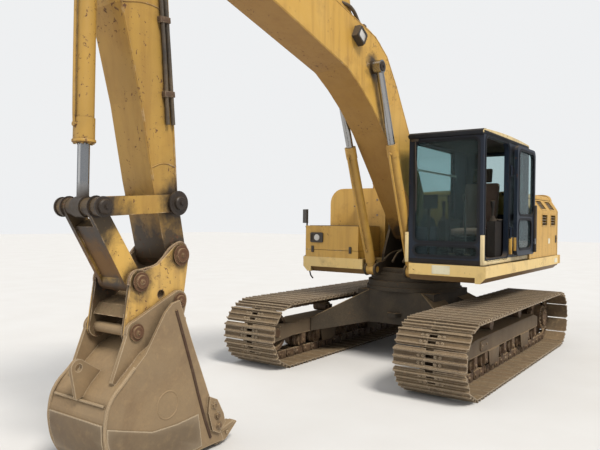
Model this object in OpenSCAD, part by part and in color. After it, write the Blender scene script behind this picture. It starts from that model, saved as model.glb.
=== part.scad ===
// Crawler excavator, 20 to 22 tonne class, with a mono boom, a quick coupler and a narrow bucket.
// +X is forward, +Y is the driver's left and +Z is up. The origin lies on the ground under the swing axis.

/* [Undercarriage] */
// Distance between the idler axle and the sprocket axle
wheelbase = 3650; // [3500:10:3750]
// Distance between the centre lines of the two tracks
gauge = 2380; // [2340:10:2600]
// Width of a track shoe
shoe_w = 800; // [500:10:900]
// Length of one shoe along the chain, nearly
shoe_pitch = 190; // [170:1:210]
// Radius on which the chain's pins run round idler and sprocket
chain_r = 320; // [310:1:340]
// Height of a chain link
link_h = 106; // [90:1:120]
// Width of one chain rail
rail_w = 36; // [30:1:40]
// Distance between the centre lines of a chain's two rails
rail_gauge = 180; // [170:1:190]
// Thickness of a shoe's plate
shoe_t = 10; // [8:1:14]
// Height of a shoe's grousers
grouser_h = 27; // [20:1:34]
// Number of teeth of a sprocket
sprocket_teeth = 21; // [17:2:25]
// Radius of a lower roller's tread
roller_r = 78; // [70:1:84]
// Number of lower rollers on each side
roller_n = 8; // [6:1:9]
// Radius of a carrier roller
carrier_r = 68; // [60:1:74]
// Width of a track frame
frame_w = 300; // [290:2:340]
// Height of the top of the carbody's ring plate
carbody_top = 960; // [940:5:1000]

/* [House] */
// Height of the platform above the ground
deck_z = 1334; // [1300:2:1380]
// Height of the platform's edge
skirt_h = 206; // [180:2:230]
// Half the width of the house
house_half = 1361; // [1320:1:1420]
// Distance from the swing axis to the front edge of the cab's platform
nose_left = 1000; // [960:5:1100]
// Distance from the swing axis to the front edge of the tool box's platform
nose_right = 800; // [700:5:850]
// Radius that the counterweight's tail sweeps
tail_r = 2950; // [2850:10:3000]
// Length of the counterweight along the middle plane
weight_len = 400; // [380:10:500]
// Height of the counterweight's top
weight_top = 2320; // [2290:5:2350]
// Height of the side doors' top edge
door_top = 2210; // [2190:5:2225]
// Height of the tank's top
tank_top = 2330; // [2200:5:2400]
// Height of the tool box's top
box_top = 1776; // [1700:2:1850]

/* [Cab] */
// Distance from the swing axis to the cab's front face
cab_front = 990; // [950:5:1000]
// Length of the cab
cab_len = 1890; // [1800:5:1900]
// Distance from the middle plane to the cab's inner side
cab_in = 372; // [370:1:400]
// Height of the cab's walls above its floor
cab_wall_h = 1500; // [1400:5:1600]
// Thickness of the cab's walls
cab_t = 60; // [50:1:70]
// Distance from the swing axis back to the door's hinge
door_hinge = 10; // [0:1:40]
// Length of the door from its hinge
door_len = 905; // [850:5:905]
// Thickness of the door
door_t = 45; // [35:1:50]
// Thickness of the glass
glass_t = 8; // [5:1:10]

/* [Boom] */
// Height of the boom's foot pin above the ground
foot_z = 1750; // [1720:5:1800]
// Distance of the boom's foot pin ahead of the swing axis
foot_x = 90; // [50:5:120]
// Distance between the boom's foot pin and its tip pin
boom_len = 5610; // [5400:10:5800]
// Angle of the boom's pin line above the ground
boom_angle = 29.35; // [28:0.05:31]
// Height of the bend's top above the pin line
boom_rise = 1240; // [1150:5:1300]
// Depth of the boom at its bend
boom_depth = 700; // [640:5:720]
// Width of the boom
boom_w = 430; // [420:2:432]
// Thickness of the boom's side plates
boom_t = 14; // [10:1:20]
// Radius of a boom cylinder's barrel
boom_barrel_r = 65; // [58:1:66]
// Distance of a boom cylinder from the middle plane
boom_cyl_y = 292; // [291:1:293]

/* [Stick] */
// Distance between the stick's pivot and its tip pin
stick_len = 2948; // [2900:2:3000]
// Direction of the stick's pin line
stick_angle = -95.45; // [-98:0.05:-94]
// Width of the stick
stick_w = 340; // [320:2:350]
// Radius of the bucket cylinder's barrel
bucket_barrel_r = 68; // [60:1:72]

/* [Bucket] */
// Width of the bucket over its side plates
bucket_w = 640; // [600:5:800]
// Thickness of the bucket's side plates
bucket_side_t = 20; // [14:1:30]
// Thickness of the bucket's shell
bucket_shell_t = 22; // [16:1:30]
// Number of teeth
teeth_n = 4; // [3:1:5]

/* [Hidden] */

paint = "#c99a3c";
dark = "#26262a";
steel = "#8b8178";
dusty = "#8d7a66";
rust = "#6b4a3a";
glass_col = "#7f8f96";

// Clearance round a hinge pin
pin_gap = 0.5;
// Clearance of a face that seats without touching
seat_gap = 0.3;
// Clearance of a moving piece from its neighbour
run_gap = 6;

// Points of an arc round c, from angle a0 to angle a1
function arc(c, r, a0, a1, n = 8) =
  [for (i = [0:n]) let (a = a0 + (a1 - a0) * i / n) [c[0] + r * cos(a), c[1] + r * sin(a)]];

// Plate whose outline lies in the XZ plane, centred on y
module plate(y, t) {
  translate([0, y + t / 2, 0])
    rotate([90, 0, 0])
      linear_extrude(t)
        children();
}
// Round bar along Y at [x, z], from y0 to y1
module bar(p, r, y0, y1, fn = 48) {
  translate([p[0], y1, p[1]])
    rotate([90, 0, 0])
      cylinder(r = r, h = y1 - y0, $fn = fn);
}
// Box between two corners
module block(lo, hi) {
  translate(lo)
    cube(hi - lo);
}
// Hinge along Z: the knuckle turns on a pin that two ears hold
knuckle_r = 11;
hinge_r = 5.5;
knuckle_gap = 1;
module knuckle_z(h) {
  difference() {
    cylinder(r = knuckle_r, h = h, $fn = 32);
    translate([0, 0, -1])
      cylinder(r = hinge_r + pin_gap, h = h + 2, $fn = 32);
  }
}
module ears_z(h, ear) {
  for (z = [-ear - knuckle_gap, h + knuckle_gap])
    translate([0, 0, z])
      cylinder(r = knuckle_r, h = ear, $fn = 32);
  translate([0, 0, -ear])
    cylinder(r = hinge_r, h = h + 2 * ear, $fn = 32);
}
// Children on both sides of the middle plane
module both_sides() {
  children();
  mirror([0, 1, 0])
    children();
}

// Undercarriage
axle_z = chain_r + link_h / 2 + shoe_t + grouser_h;
track_y = gauge / 2;
loop_len = 2 * wheelbase + 2 * PI * chain_r;
shoe_n = round(loop_len / shoe_pitch);
shoe_step = loop_len / shoe_n;
half_turn = PI * chain_r;
// Angle that a length of the chain turns through round a wheel
function turn_of(s) = s / chain_r * 180 / PI;
// Point on the chain's pin line, s along it from the rear end of the lower run
function chain_at(s) =
  let (m = s % loop_len, up = m - wheelbase, top = up - half_turn, down = top - wheelbase)
  up < 0 ? [m - wheelbase / 2, -chain_r]
  : top < 0 ? [wheelbase / 2 + chain_r * sin(turn_of(up)), -chain_r * cos(turn_of(up))]
  : down < 0 ? [wheelbase / 2 - top, chain_r]
  : [-wheelbase / 2 - chain_r * sin(turn_of(down)), chain_r * cos(turn_of(down))];
pins = [for (i = [0:shoe_n - 1]) chain_at((i + 0.5) * shoe_step)];
function pin_of(i) = pins[(i + shoe_n) % shoe_n];
function outward(d) = [d[1], -d[0]] / norm(d);
// Point on shoe i, u along it as a share of its length and h above the pin line
function on_shoe(i, u, h) =
  pin_of(i) + (pin_of(i + 1) - pin_of(i)) * u + outward(pin_of(i + 1) - pin_of(i)) * h;
// Point at the joint before shoe i, h above the pin line
function at_joint(i, h) = pin_of(i) + outward(pin_of(i + 1) - pin_of(i - 1)) * h;
plate_h = link_h / 2 + shoe_t;
// Thickness of the shoes where two of them meet
lap_t = 5;
// Grousers of a shoe: place of its middle as a share of the shoe's length, height as a share of grouser_h
grousers = [[0.1, 1], [0.5, 0.92], [0.9, 1]];
grouser_half = 0.075;
shoe_outline = [for (i = [0:shoe_n - 1]) each concat(
  [at_joint(i, link_h / 2 + lap_t)],
  [for (g = grousers, k = [-1:1])
    on_shoe(i, g[0] + k * grouser_half, plate_h + (k == 0 ? g[1] * grouser_h : 0))]
)];
function joint_ring(h) = [for (i = [0:shoe_n - 1]) at_joint(i, h)];
module ring2d(outer, inner) {
  polygon(
    concat(outer, inner),
    paths = [[for (i = [0:len(outer) - 1]) i], [for (i = [0:len(inner) - 1]) len(outer) + i]]
  );
}
module track(side) {
  color(dusty)
    translate([0, 0, axle_z])
      union() {
        plate(side * track_y, shoe_w)
          ring2d(shoe_outline, joint_ring(link_h / 2));
        for (k = [-1, 1])
          plate(side * track_y + k * rail_gauge / 2, rail_w)
            ring2d(joint_ring(link_h / 2), joint_ring(-link_h / 2));
      }
}
module track_left() { track(1); }
module track_right() { track(-1); }

// Radius inside the chain on a wheel: the rails bridge it in straight links
tread_r = (chain_r - link_h / 2) * cos(shoe_step / chain_r * 90 / PI) - 2;
rail_in = rail_gauge / 2 - rail_w / 2;
rail_out = rail_gauge / 2 + rail_w / 2;
idler_half = rail_out + 4;
flange_h = 26;
yoke_in = idler_half + 3;
module idler(side) {
  translate([wheelbase / 2, side * track_y, axle_z])
    rotate([90, 0, 0])
      rotate_extrude($fn = 72)
        polygon([
          [0, -yoke_in + seat_gap], [70, -yoke_in + seat_gap], [90, -idler_half],
          [tread_r - 50, -idler_half * 0.55], [tread_r - 40, -idler_half], [tread_r, -idler_half],
          [tread_r, -rail_in + 8], [tread_r + flange_h, -rail_in + 20],
          [tread_r + flange_h, rail_in - 20], [tread_r, rail_in - 8],
          [tread_r, idler_half], [tread_r - 40, idler_half], [tread_r - 50, idler_half * 0.55],
          [90, idler_half], [70, yoke_in - seat_gap], [0, yoke_in - seat_gap]
        ]);
}
module idlers() {
  color(rust)
    for (side = [-1, 1])
      idler(side);
}

sprocket_half = 28;
tooth_tip = chain_r + 12;
tooth_root = chain_r - 34;
arm_t = 40;
arm_out = frame_w / 2 + arm_t;
drive_r = 205;
motor_r = 160;
hub_r = 175;
module sprocket(side) {
  translate([-wheelbase / 2, side * track_y, axle_z]) {
    plate(0, 2 * sprocket_half)
      polygon([for (i = [0:sprocket_teeth - 1], k = [[-0.34, 0], [-0.14, 1], [0.14, 1], [0.34, 0]])
        let (a = (i + k[0]) * 360 / sprocket_teeth, r = k[1] == 1 ? tooth_tip : tooth_root)
          [r * cos(a), r * sin(a)]]);
    mirror([0, side > 0 ? 0 : 1, 0]) {
      bar([0, 0], drive_r, -frame_w / 2 + seat_gap, -sprocket_half);
      bar([0, 0], hub_r, sprocket_half, rail_out + 10);
      bar([0, 0], hub_r - 55, rail_out + 10, rail_out + 45);
      bar([0, 0], motor_r, -arm_out - 150, -frame_w / 2 + 1);
    }
  }
}
module sprockets() {
  color(rust)
    for (side = [-1, 1])
      sprocket(side);
}

rail_floor = axle_z - chain_r + link_h / 2;
roller_z = rail_floor + roller_r + seat_gap;
roller_flange = 14;
frame_low = roller_z + roller_r + roller_flange + 12;
frame_top = 520;
frame_rear = -1400;
frame_nose = 1440;
roller_span = 2520;
roller_x0 = -1290;
collar_w = 90;
carrier_z = axle_z + chain_r - link_h / 2 - carrier_r - seat_gap;
carrier_x = [-640, 560];
module roller(x, side) {
  translate([x, side * track_y, roller_z]) {
    rotate([90, 0, 0])
      rotate_extrude($fn = 40)
        polygon([
          [0, -idler_half], [roller_r, -idler_half], [roller_r, -rail_in + 8],
          [roller_r + roller_flange, -rail_in + 16], [roller_r + roller_flange, -30], [roller_r - 20, -20],
          [roller_r - 20, 20], [roller_r + roller_flange, 30], [roller_r + roller_flange, rail_in - 16],
          [roller_r, rail_in - 8], [roller_r, idler_half], [0, idler_half]
        ]);
    for (k = [-1, 1])
      block(
        [-collar_w / 2, k > 0 ? idler_half : -frame_w / 2, -30],
        [collar_w / 2, k > 0 ? frame_w / 2 : -idler_half, frame_low - roller_z]
      );
  }
}
module carrier(x, side) {
  translate([x, side * track_y, carrier_z]) {
    bar([0, 0], carrier_r, -rail_out, rail_out, 40);
    mirror([0, side > 0 ? 0 : 1, 0])
      block([-45, -frame_w / 2, frame_top - carrier_z], [45, -rail_out, 35]);
  }
}
module rollers(side) {
  color(rust) {
    for (i = [0:roller_n - 1])
      roller(roller_x0 + i * roller_span / (roller_n - 1), side);
    for (x = carrier_x)
      carrier(x, side);
  }
}
module rollers_left() { rollers(1); }
module rollers_right() { rollers(-1); }

frame_t = 16;
frame_side = [
  [frame_rear, frame_low], [frame_nose, frame_low], [frame_nose, 480],
  [1250, frame_top], [-1200, frame_top], [frame_rear, 470]
];
yoke_half = 55;
bearing_r = 120;
module track_frame(side) {
  color(paint)
    translate([0, side * track_y, 0])
      mirror([0, side > 0 ? 0 : 1, 0])
        difference() {
          union() {
            plate(0, frame_w)
              polygon(frame_side);
            // Yoke that carries the idler
            for (k = [-1, 1])
              plate(k * (yoke_in + frame_w / 2) / 2, frame_w / 2 - yoke_in)
                polygon(concat(
                  [[frame_nose - frame_t, axle_z - yoke_half - 20]],
                  arc([wheelbase / 2, axle_z], bearing_r, -75, 75),
                  [[frame_nose - frame_t, axle_z + yoke_half + 15]]
                ));
            // Arm that carries the final drive
            plate(-frame_w / 2 - arm_t / 2, arm_t)
              polygon(concat(
                [[-1120, 470], [-1120, frame_low + 20]],
                arc([-wheelbase / 2, axle_z], drive_r, 285, 75)
              ));
          }
          plate(0, frame_w - 2 * frame_t)
            polygon([
              [frame_rear + frame_t, frame_low + frame_t], [frame_nose - frame_t, frame_low + frame_t],
              [frame_nose - frame_t, 465], [1245, frame_top - frame_t],
              [-1195, frame_top - frame_t], [frame_rear + frame_t, 460]
            ]);
          bar([-wheelbase / 2, axle_z], motor_r + seat_gap, -arm_out - 1, 0);
        }
}
module track_frame_left() { track_frame(1); }
module track_frame_right() { track_frame(-1); }

leg_y = track_y - frame_w / 2;
centre_half = 560;
centre_low = 470;
ring_r = 660;
ring_t = 50;
eye_r = 35;
eye_t = 50;
eye_z = 600;
eye_out = 90;
module carbody() {
  color(dark)
    difference() {
      union() {
        block([-600, -centre_half, centre_low], [600, centre_half, carbody_top - ring_t]);
        translate([0, 0, carbody_top - ring_t])
          cylinder(r = ring_r, h = ring_t, $fn = 72);
        for (sx = [-1, 1], sy = [-1, 1])
          mirror([sx > 0 ? 0 : 1, 0, 0])
            mirror([0, sy > 0 ? 0 : 1, 0])
              hull() {
                block([120, 380, centre_low], [600, 400, carbody_top - ring_t]);
                block([560, leg_y - 20, frame_low + 10], [1080, leg_y - seat_gap, frame_top - 8]);
              }
        // Tow eyes: flat plates whose pin stands upright
        for (sx = [-1, 1])
          translate([0, 0, eye_z - eye_t / 2])
            linear_extrude(eye_t)
              polygon([
                [sx * 590, -110], [sx * (600 + eye_out - 20), -70], [sx * (600 + eye_out), -50],
                [sx * (600 + eye_out), 50], [sx * (600 + eye_out - 20), 70], [sx * 590, 110]
              ]);
      }
      for (sx = [-1, 1])
        translate([sx * (600 + eye_out - 55), 0, eye_z - eye_t])
          cylinder(r = eye_r, h = 2 * eye_t, $fn = 48);
    }
}

bearing_z = deck_z - skirt_h;
race_r = 600;
bearing_gap = 0.5;
module swing_ring() {
  color(steel)
    translate([0, 0, carbody_top])
      difference() {
        cylinder(r = race_r + 40, h = 80, $fn = 72);
        translate([0, 0, -1])
          cylinder(r = race_r - 90, h = 90, $fn = 72);
      }
}

// Main frame of the house
weight_x = tail_r - weight_len;
foot_pin = [foot_x, foot_z];
base_t = 32;
main_y = 268;
main_t = 36;
cyl_foot = [700, 1200];
lug_t = 24;
lug_r = 88;
barrel_eye = 110;
lug_out = barrel_eye / 2 + 3 + lug_t;
foot_boss = 170;
foot_pin_r = 50;
cyl_pin_r = 42;
module house_frame() {
  color(dark)
    difference() {
      union() {
        block([-weight_x + seat_gap, -480, bearing_z], [600, 480, bearing_z + base_t]);
        // Ring that turns on the swing bearing
        translate([0, 0, carbody_top + 80 + bearing_gap])
          difference() {
            cylinder(r = race_r, h = bearing_z - carbody_top - 80 - bearing_gap + 1, $fn = 72);
            translate([0, 0, -1])
              cylinder(r = race_r - 90, h = bearing_z, $fn = 72);
          }
        // Main plates with the towers for the boom's foot
        both_sides()
          plate(main_y, main_t)
            polygon(concat(
              [[-weight_x + seat_gap, bearing_z + base_t - 1], [470, bearing_z + base_t - 1], [430, 1400]],
              arc(foot_pin, foot_boss, -5, 160),
              [[-600, 1480], [-1000, deck_z - 6], [-weight_x + seat_gap, deck_z - 30]]
            ));
        // Lugs for the boom cylinders
        both_sides()
          for (k = [-1, 1])
            plate(boom_cyl_y + k * (lug_out - lug_t / 2), lug_t)
              polygon(concat([[470, bearing_z + 2]], arc(cyl_foot, lug_r, -75, 100), [[470, 1310]]));
        // Crossbar under the lugs
        block([430, -400, bearing_z], [560, 400, bearing_z + 90]);
        // Brackets that tie the platforms to the main plates
        both_sides()
          for (x = [-weight_x + 200, -1500, -900])
            block([x, main_y, deck_z - 90], [x + 60, 480, deck_z - 10 - seat_gap]);
      }
      bar(foot_pin, foot_pin_r + pin_gap, -main_y - main_t, main_y + main_t);
      both_sides()
        bar(cyl_foot, cyl_pin_r + pin_gap, boom_cyl_y - 150, boom_cyl_y + 150);
    }
}

deck_t = 10;
cyl_clear = 388;
skirt_chamfer = 70;
beam_w = 130;
// Platform with its edge beam; nose is its front edge
module platform(side, nose) {
  mirror([0, side > 0 ? 0 : 1, 0]) {
    translate([0, 0, deck_z - deck_t])
      linear_extrude(deck_t)
        polygon([
          [-weight_x + seat_gap, main_y + main_t / 2 + seat_gap], [400, main_y + main_t / 2 + seat_gap],
          [400, cyl_clear], [nose, cyl_clear], [nose, house_half], [-weight_x + seat_gap, house_half]
        ]);
    // Side beam with its lower edge cut back
    translate([-weight_x + seat_gap, 0, 0])
      rotate([90, 0, 90])
        linear_extrude(nose + weight_x - seat_gap)
          polygon([
            [house_half - beam_w, deck_z - skirt_h], [house_half - skirt_chamfer, deck_z - skirt_h],
            [house_half, deck_z - skirt_h + skirt_chamfer], [house_half, deck_z - deck_t],
            [house_half - beam_w, deck_z - deck_t]
          ]);
    // Front beam
    translate([0, house_half - beam_w, 0])
      rotate([90, 0, 0])
        linear_extrude(house_half - beam_w - cyl_clear)
          polygon([
            [nose - beam_w, deck_z - skirt_h], [nose - skirt_chamfer, deck_z - skirt_h],
            [nose, deck_z - skirt_h + skirt_chamfer], [nose, deck_z - deck_t],
            [nose - beam_w, deck_z - deck_t]
          ]);
    // Cross beams out from the main frame
    for (x = [-weight_x + 200, -1500, -900, -200])
      block([x, 480 + seat_gap, deck_z - 110], [x + 80, house_half - beam_w, deck_z - deck_t]);
  }
}
module left_platform() {
  color(paint)
    platform(1, nose_left);
}
module right_platform() {
  color(paint)
    platform(-1, nose_right);
}

weight_corner = 70;
weight_half = house_half - 20;
weight_low = deck_z - skirt_h + 42;
// Shoulders along the house's top: how far they lean in, and where they begin
shoulder_in = 120;
shoulder_z = door_top - 170;
function shoulder(half, top) = concat(
  [[half, shoulder_z]],
  arc([half - shoulder_in - top + door_top, door_top], top - door_top, 0, 90)
);
flange_len = 150;
shoulder_pts = shoulder(weight_half, weight_top);
corner_y = weight_half - weight_corner;
corner_c = [-sqrt(pow(tail_r - weight_corner, 2) - pow(corner_y, 2)), corner_y];
corner_a = atan2(corner_c[1], corner_c[0]);
top_round = 150;
module counterweight() {
  // Flange that carries on the line of the platform's edge
  color(paint)
    both_sides()
      translate([0, 0, deck_z - skirt_h + skirt_chamfer])
        linear_extrude(skirt_h - skirt_chamfer)
          polygon([
            [-weight_x, weight_half - 30], [-weight_x, house_half], [-weight_x - flange_len, house_half],
            [-weight_x - flange_len - 50, weight_half - 90]
          ]);
  color(paint)
    intersection() {
      translate([0, 0, weight_low])
        linear_extrude(weight_top - weight_low)
          polygon(concat(
            [[-weight_x, -weight_half], [-weight_x, weight_half]],
            arc(corner_c, weight_corner, 90, corner_a),
            arc([0, 0], tail_r, corner_a, 360 - corner_a, 14),
            arc([corner_c[0], -corner_c[1]], weight_corner, -corner_a, -90)
          ));
      plate(0, 2 * house_half)
        polygon(concat(
          [[-weight_x + 1, weight_low - 1], [-weight_x + 1, weight_top]],
          arc([-tail_r + top_round, weight_top - top_round], top_round, 90, 180),
          [[-tail_r, weight_low + 160], [-tail_r + 110, weight_low]]
        ));
      translate([-2 * tail_r, 0, 0])
        rotate([90, 0, 90])
          linear_extrude(2 * tail_r)
            polygon(concat(
              [[-weight_half, weight_low - 1], [weight_half, weight_low - 1]],
              shoulder(weight_half, weight_top),
              [for (i = [len(shoulder_pts) - 1:-1:0]) [-shoulder_pts[i][0], shoulder_pts[i][1]]]
            ));
    }
}

bay_x0 = -weight_x + run_gap;
bay_x1 = -1020;
bay_half = house_half - 20;
engine_z = deck_z + 66;
module engine() {
  color(dark)
    block([-weight_x + 250, -420, engine_z], [bay_x1 - 130, 420, 1990]);
}
engine_feet = [-weight_x + 350, bay_x1 - 280];
rail_h = 70;
// Distance from the bay's side in to the inner edge of a top rail
rail_in_y = 250;
pillar_x = bay_x1 - 34;
door_axis = [bay_x1 - 37, bay_half + 12.5];
door_hinges = [deck_z + 120, shoulder_z - 140];
knuckle_h = 60;
hood_axis = [bay_x1 - 20, weight_top - 22];
hood_hinges = [-500, 900];
// Skin of the bay's side with its shoulder, t thick, from x0 to x1
module bay_skin(t, x0, x1) {
  translate([x0, 0, 0])
    rotate([90, 0, 90])
      linear_extrude(x1 - x0)
        polygon([
          [bay_half - t, deck_z + 6], [bay_half, deck_z + 6], [bay_half, shoulder_z],
          [bay_half - shoulder_in, door_top], [bay_half - shoulder_in - t, door_top],
          [bay_half - t, shoulder_z - 9]
        ]);
}
// Side of the bulkhead: distance in from the bay's side, and height
bulkhead_side = [[60, deck_z], [60, shoulder_z - 20], [shoulder_in + 40, weight_top - 70]];
module engine_bay() {
  color(paint) {
    // Bulkhead behind the cab
    translate([bay_x1 - 30, 0, 0])
      rotate([90, 0, 90])
        linear_extrude(30)
          polygon(concat(
            [for (p = bulkhead_side) [bay_half - p[0], p[1]]],
            [for (i = [len(bulkhead_side) - 1:-1:0]) [bulkhead_side[i][0] - bay_half, bulkhead_side[i][1]]]
          ));
    // Pillars in front of the side doors, with the doors' ears
    bay_skin(61, pillar_x, cab_rear - run_gap);
    mirror([0, 1, 0])
      bay_skin(61, pillar_x, bay_x1);
    both_sides()
      for (z = door_hinges) {
        translate([door_axis[0], door_axis[1], z])
          ears_z(knuckle_h, 30);
        for (k = [-31, knuckle_h + 1])
          block([door_axis[0], bay_half - 1, z + k], [pillar_x + 25, door_axis[1] + 8, z + k + 30]);
      }
    // Ears of the hood
    for (y = hood_hinges) {
      translate([hood_axis[0], y, hood_axis[1]])
        rotate([-90, 0, 0])
          ears_z(knuckle_h, 20);
      for (k = [-21, knuckle_h + 1])
        block([hood_axis[0] - 8, y + k, weight_top - 72], [hood_axis[0] + 8, y + k + 20, hood_axis[1]]);
    }
    // Top rails over the doors
    both_sides()
      translate([bay_x0, 0, 0])
        rotate([90, 0, 90])
          linear_extrude(bay_x1 - bay_x0)
            polygon(concat(
              [[bay_half - rail_in_y, door_top + 8], [bay_half - shoulder_in - 5, door_top + 8]],
              arc([bay_half - shoulder_in - 5 - rail_h, weight_top - 30 - rail_h], rail_h, 0, 90),
              [[bay_half - rail_in_y, weight_top - 30]]
            ));
    // Rear posts
    both_sides()
      block([bay_x0, bay_half - 240, deck_z], [bay_x0 + 50, bay_half - 180, door_top + 9]);
    // Fixed top panel that carries the exhaust
    block([bay_x0, -bay_half + rail_in_y - 10, weight_top - 45], [bay_x1, -780, weight_top - 30]);
    // Mounts for the engine
    for (x = engine_feet, k = [-1, 1])
      block([x, k * 350 - 50, deck_z], [x + 90, k * 350 + 50, engine_z - seat_gap]);
  }
}
module exhaust() {
  color(dark)
    translate([-1600, -980, weight_top - 30 + seat_gap]) {
      cylinder(r = 60, h = 270, $fn = 40);
      translate([0, 0, 235])
        rotate([0, -40, 0])
          cylinder(r = 50, h = 130, $fn = 40);
    }
}
hood_crown = 50;
hood_low = weight_top - 60;
hood_side = bay_half - rail_in_y - 6;
module hood() {
  color(paint)
    for (y = hood_hinges) {
      translate([hood_axis[0], y, hood_axis[1]])
        rotate([-90, 0, 0])
          knuckle_z(knuckle_h);
      block(
        [bay_x1 - 50, y, weight_top - 36],
        [hood_axis[0] - hinge_r - 1, y + knuckle_h, weight_top - 24]
      );
    }
  color(paint)
    translate([bay_x0, 0, 0])
      rotate([90, 0, 90])
        linear_extrude(bay_x1 - 35 - bay_x0)
          difference() {
            polygon(concat(
              [[-770, hood_low], [-770, weight_top - 30]],
              [for (i = [0:8])
                [-700 + i * (hood_side + 630) / 8, weight_top - 30 + hood_crown * sin(i * 180 / 8)]],
              [[hood_side, weight_top - 30], [hood_side, hood_low]]
            ));
            polygon([
              [-750, hood_low - 1], [-750, weight_top - 50], [hood_side - 20, weight_top - 50],
              [hood_side - 20, hood_low - 1]
            ]);
          }
}

side_door_t = 30;
// Vents of the left door: their low rear corner's distance ahead of the bay's end, height, length and rise
vents = [[655, 2062, 300, 128], [125, 2062, 300, 128], [655, 1814, 300, 165], [125, 1814, 300, 165]];
module side_door_panel() {
  bay_skin(side_door_t, bay_x0 + 16, bay_x1 - 40);
}
module door_knuckles() {
  for (z = door_hinges) {
    translate([door_axis[0], door_axis[1], z])
      knuckle_z(knuckle_h);
    block([door_axis[0] - 40, bay_half - 1, z], [door_axis[0] - hinge_r - 1, bay_half + 8, z + knuckle_h]);
  }
}
module left_side_door() {
  color(paint) {
    door_knuckles();
    difference() {
      side_door_panel();
      for (v = vents)
        block(
          [bay_x0 + v[0], bay_half - shoulder_in - 60, v[1]],
          [bay_x0 + v[0] + v[2], bay_half + 1, v[1] + v[3]]
        );
    }
  }
}
module right_side_door() {
  color(paint)
    mirror([0, 1, 0]) {
      side_door_panel();
      door_knuckles();
    }
}

tank_x1 = 150;
tank_in = 450;
tank_out = house_half - 40;
tank_split = -380;
tank_round = 220;
module tank(x0, x1, top) {
  translate([x0, 0, 0])
    rotate([90, 0, 90])
      linear_extrude(x1 - x0)
        polygon(concat(
          [[-tank_in + 60, deck_z], [-tank_in + 60, top - 330], [-tank_in, top - 20]],
          [[-tank_in - 20, top]],
          arc([-tank_out + tank_round, top - tank_round], tank_round, 90, 180),
          [[-tank_out, deck_z]]
        ));
}
module fuel_tank() {
  color(paint) {
    tank(tank_split, tank_x1, tank_top);
    translate([-60, -640, tank_top - 1])
      cylinder(r = 62, h = 71, $fn = 40);
  }
}
module hydraulic_tank() {
  color(paint)
    tank(bay_x1 + 8, tank_split - 8, tank_top - 40);
}

box_x1 = nose_right;
box_x0 = tank_x1 + 40;
box_in = 456;
box_out = house_half - 40;
box_seam = 1440;
lid_t = 20;
box_t = 20;
lid_axis = [box_x0 + 14, box_top - 34];
lid_hinges = [-1150, -700];
module toolbox() {
  // Ears of the lid
  color(paint)
    for (y = lid_hinges) {
      translate([lid_axis[0], y, lid_axis[1]])
        rotate([-90, 0, 0])
          ears_z(knuckle_h, 20);
      for (k = [-21, knuckle_h + 1])
        block([lid_axis[0] - 4, y + k, box_top - 90], [box_x0 + 45, y + k + 20, box_top - 50]);
      for (k = [-21, knuckle_h + 1])
        block([lid_axis[0] - 4, y + k, box_top - 90], [lid_axis[0] + 4, y + k + 20, lid_axis[1]]);
    }
  color(paint)
    difference() {
      block([box_x0, -box_out, deck_z], [box_x1, -box_in, box_seam - 6]);
      block([box_x0 + box_t, -box_out + box_t, deck_z + 10], [box_x1 - box_t, -box_in - box_t, box_seam]);
    }
  // Rear wall behind the lid's open side
  color(paint)
    block(
      [box_x0 + 40, -box_out + box_t + 8, deck_z + 9],
      [box_x0 + 52, -box_in - box_t - 8, box_top - 50]
    );
}
module toolbox_lid() {
  color(paint)
    for (y = lid_hinges) {
      translate([lid_axis[0], y, lid_axis[1]])
        rotate([-90, 0, 0])
          knuckle_z(knuckle_h);
      block(
        [lid_axis[0] - 8, y, lid_axis[1] + hinge_r + 1],
        [lid_axis[0] + 8, y + knuckle_h, box_top - lid_t + 1]
      );
    }
  color(paint)
    difference() {
      block([box_x0, -box_out, box_seam], [box_x1, -box_in, box_top]);
      block(
        [box_x0 - 1, -box_out + lid_t, box_seam - 1],
        [box_x1 - lid_t, -box_in - lid_t, box_top - lid_t]
      );
    }
}

module valve_block() {
  color(dark) {
    block([-820, -200, bearing_z + base_t], [-330, 220, 1640]);
    translate([-60, 0, bearing_z + base_t])
      cylinder(r = 165, h = 330, $fn = 48);
  }
}

// Cab
cab_rear = cab_front - cab_len;
cab_out = house_half - 45;
cab_floor_z = deck_z + 12;
cab_floor_t = 50;
cab_z0 = cab_floor_z + cab_floor_t;
cab_z1 = cab_z0 + cab_wall_h;
sill = 20;
module cab_floor() {
  color(dark) {
    block([cab_rear, cab_in, cab_floor_z], [cab_front, cab_out, cab_z0]);
    for (x = [cab_rear + 150, cab_front - 250], y = [cab_in + 120, cab_out - 220])
      translate([x + 50, y + 50, deck_z])
        cylinder(r = 60, h = cab_floor_z - deck_z + 1, $fn = 32);
  }
}
// Hinge axis of the cab's door: it stands off the wall
hinge_y = cab_out + 24;
cab_knuckle = 90;
// Door opening in the left wall
open_x0 = -door_hinge + 35;
open_x1 = door_len - door_hinge + 10;
open_z0 = cab_z0 + sill;
open_z1 = cab_z1 - 32;
module window2d(x0, z0, x1, z1, r) {
  polygon(concat(
    arc([x0 + r, z0 + r], r, 180, 270, 5), arc([x1 - r, z0 + r], r, 270, 360, 5),
    arc([x1 - r, z1 - r], r, 0, 90, 5), arc([x0 + r, z1 - r], r, 90, 180, 5)
  ));
}
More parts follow.
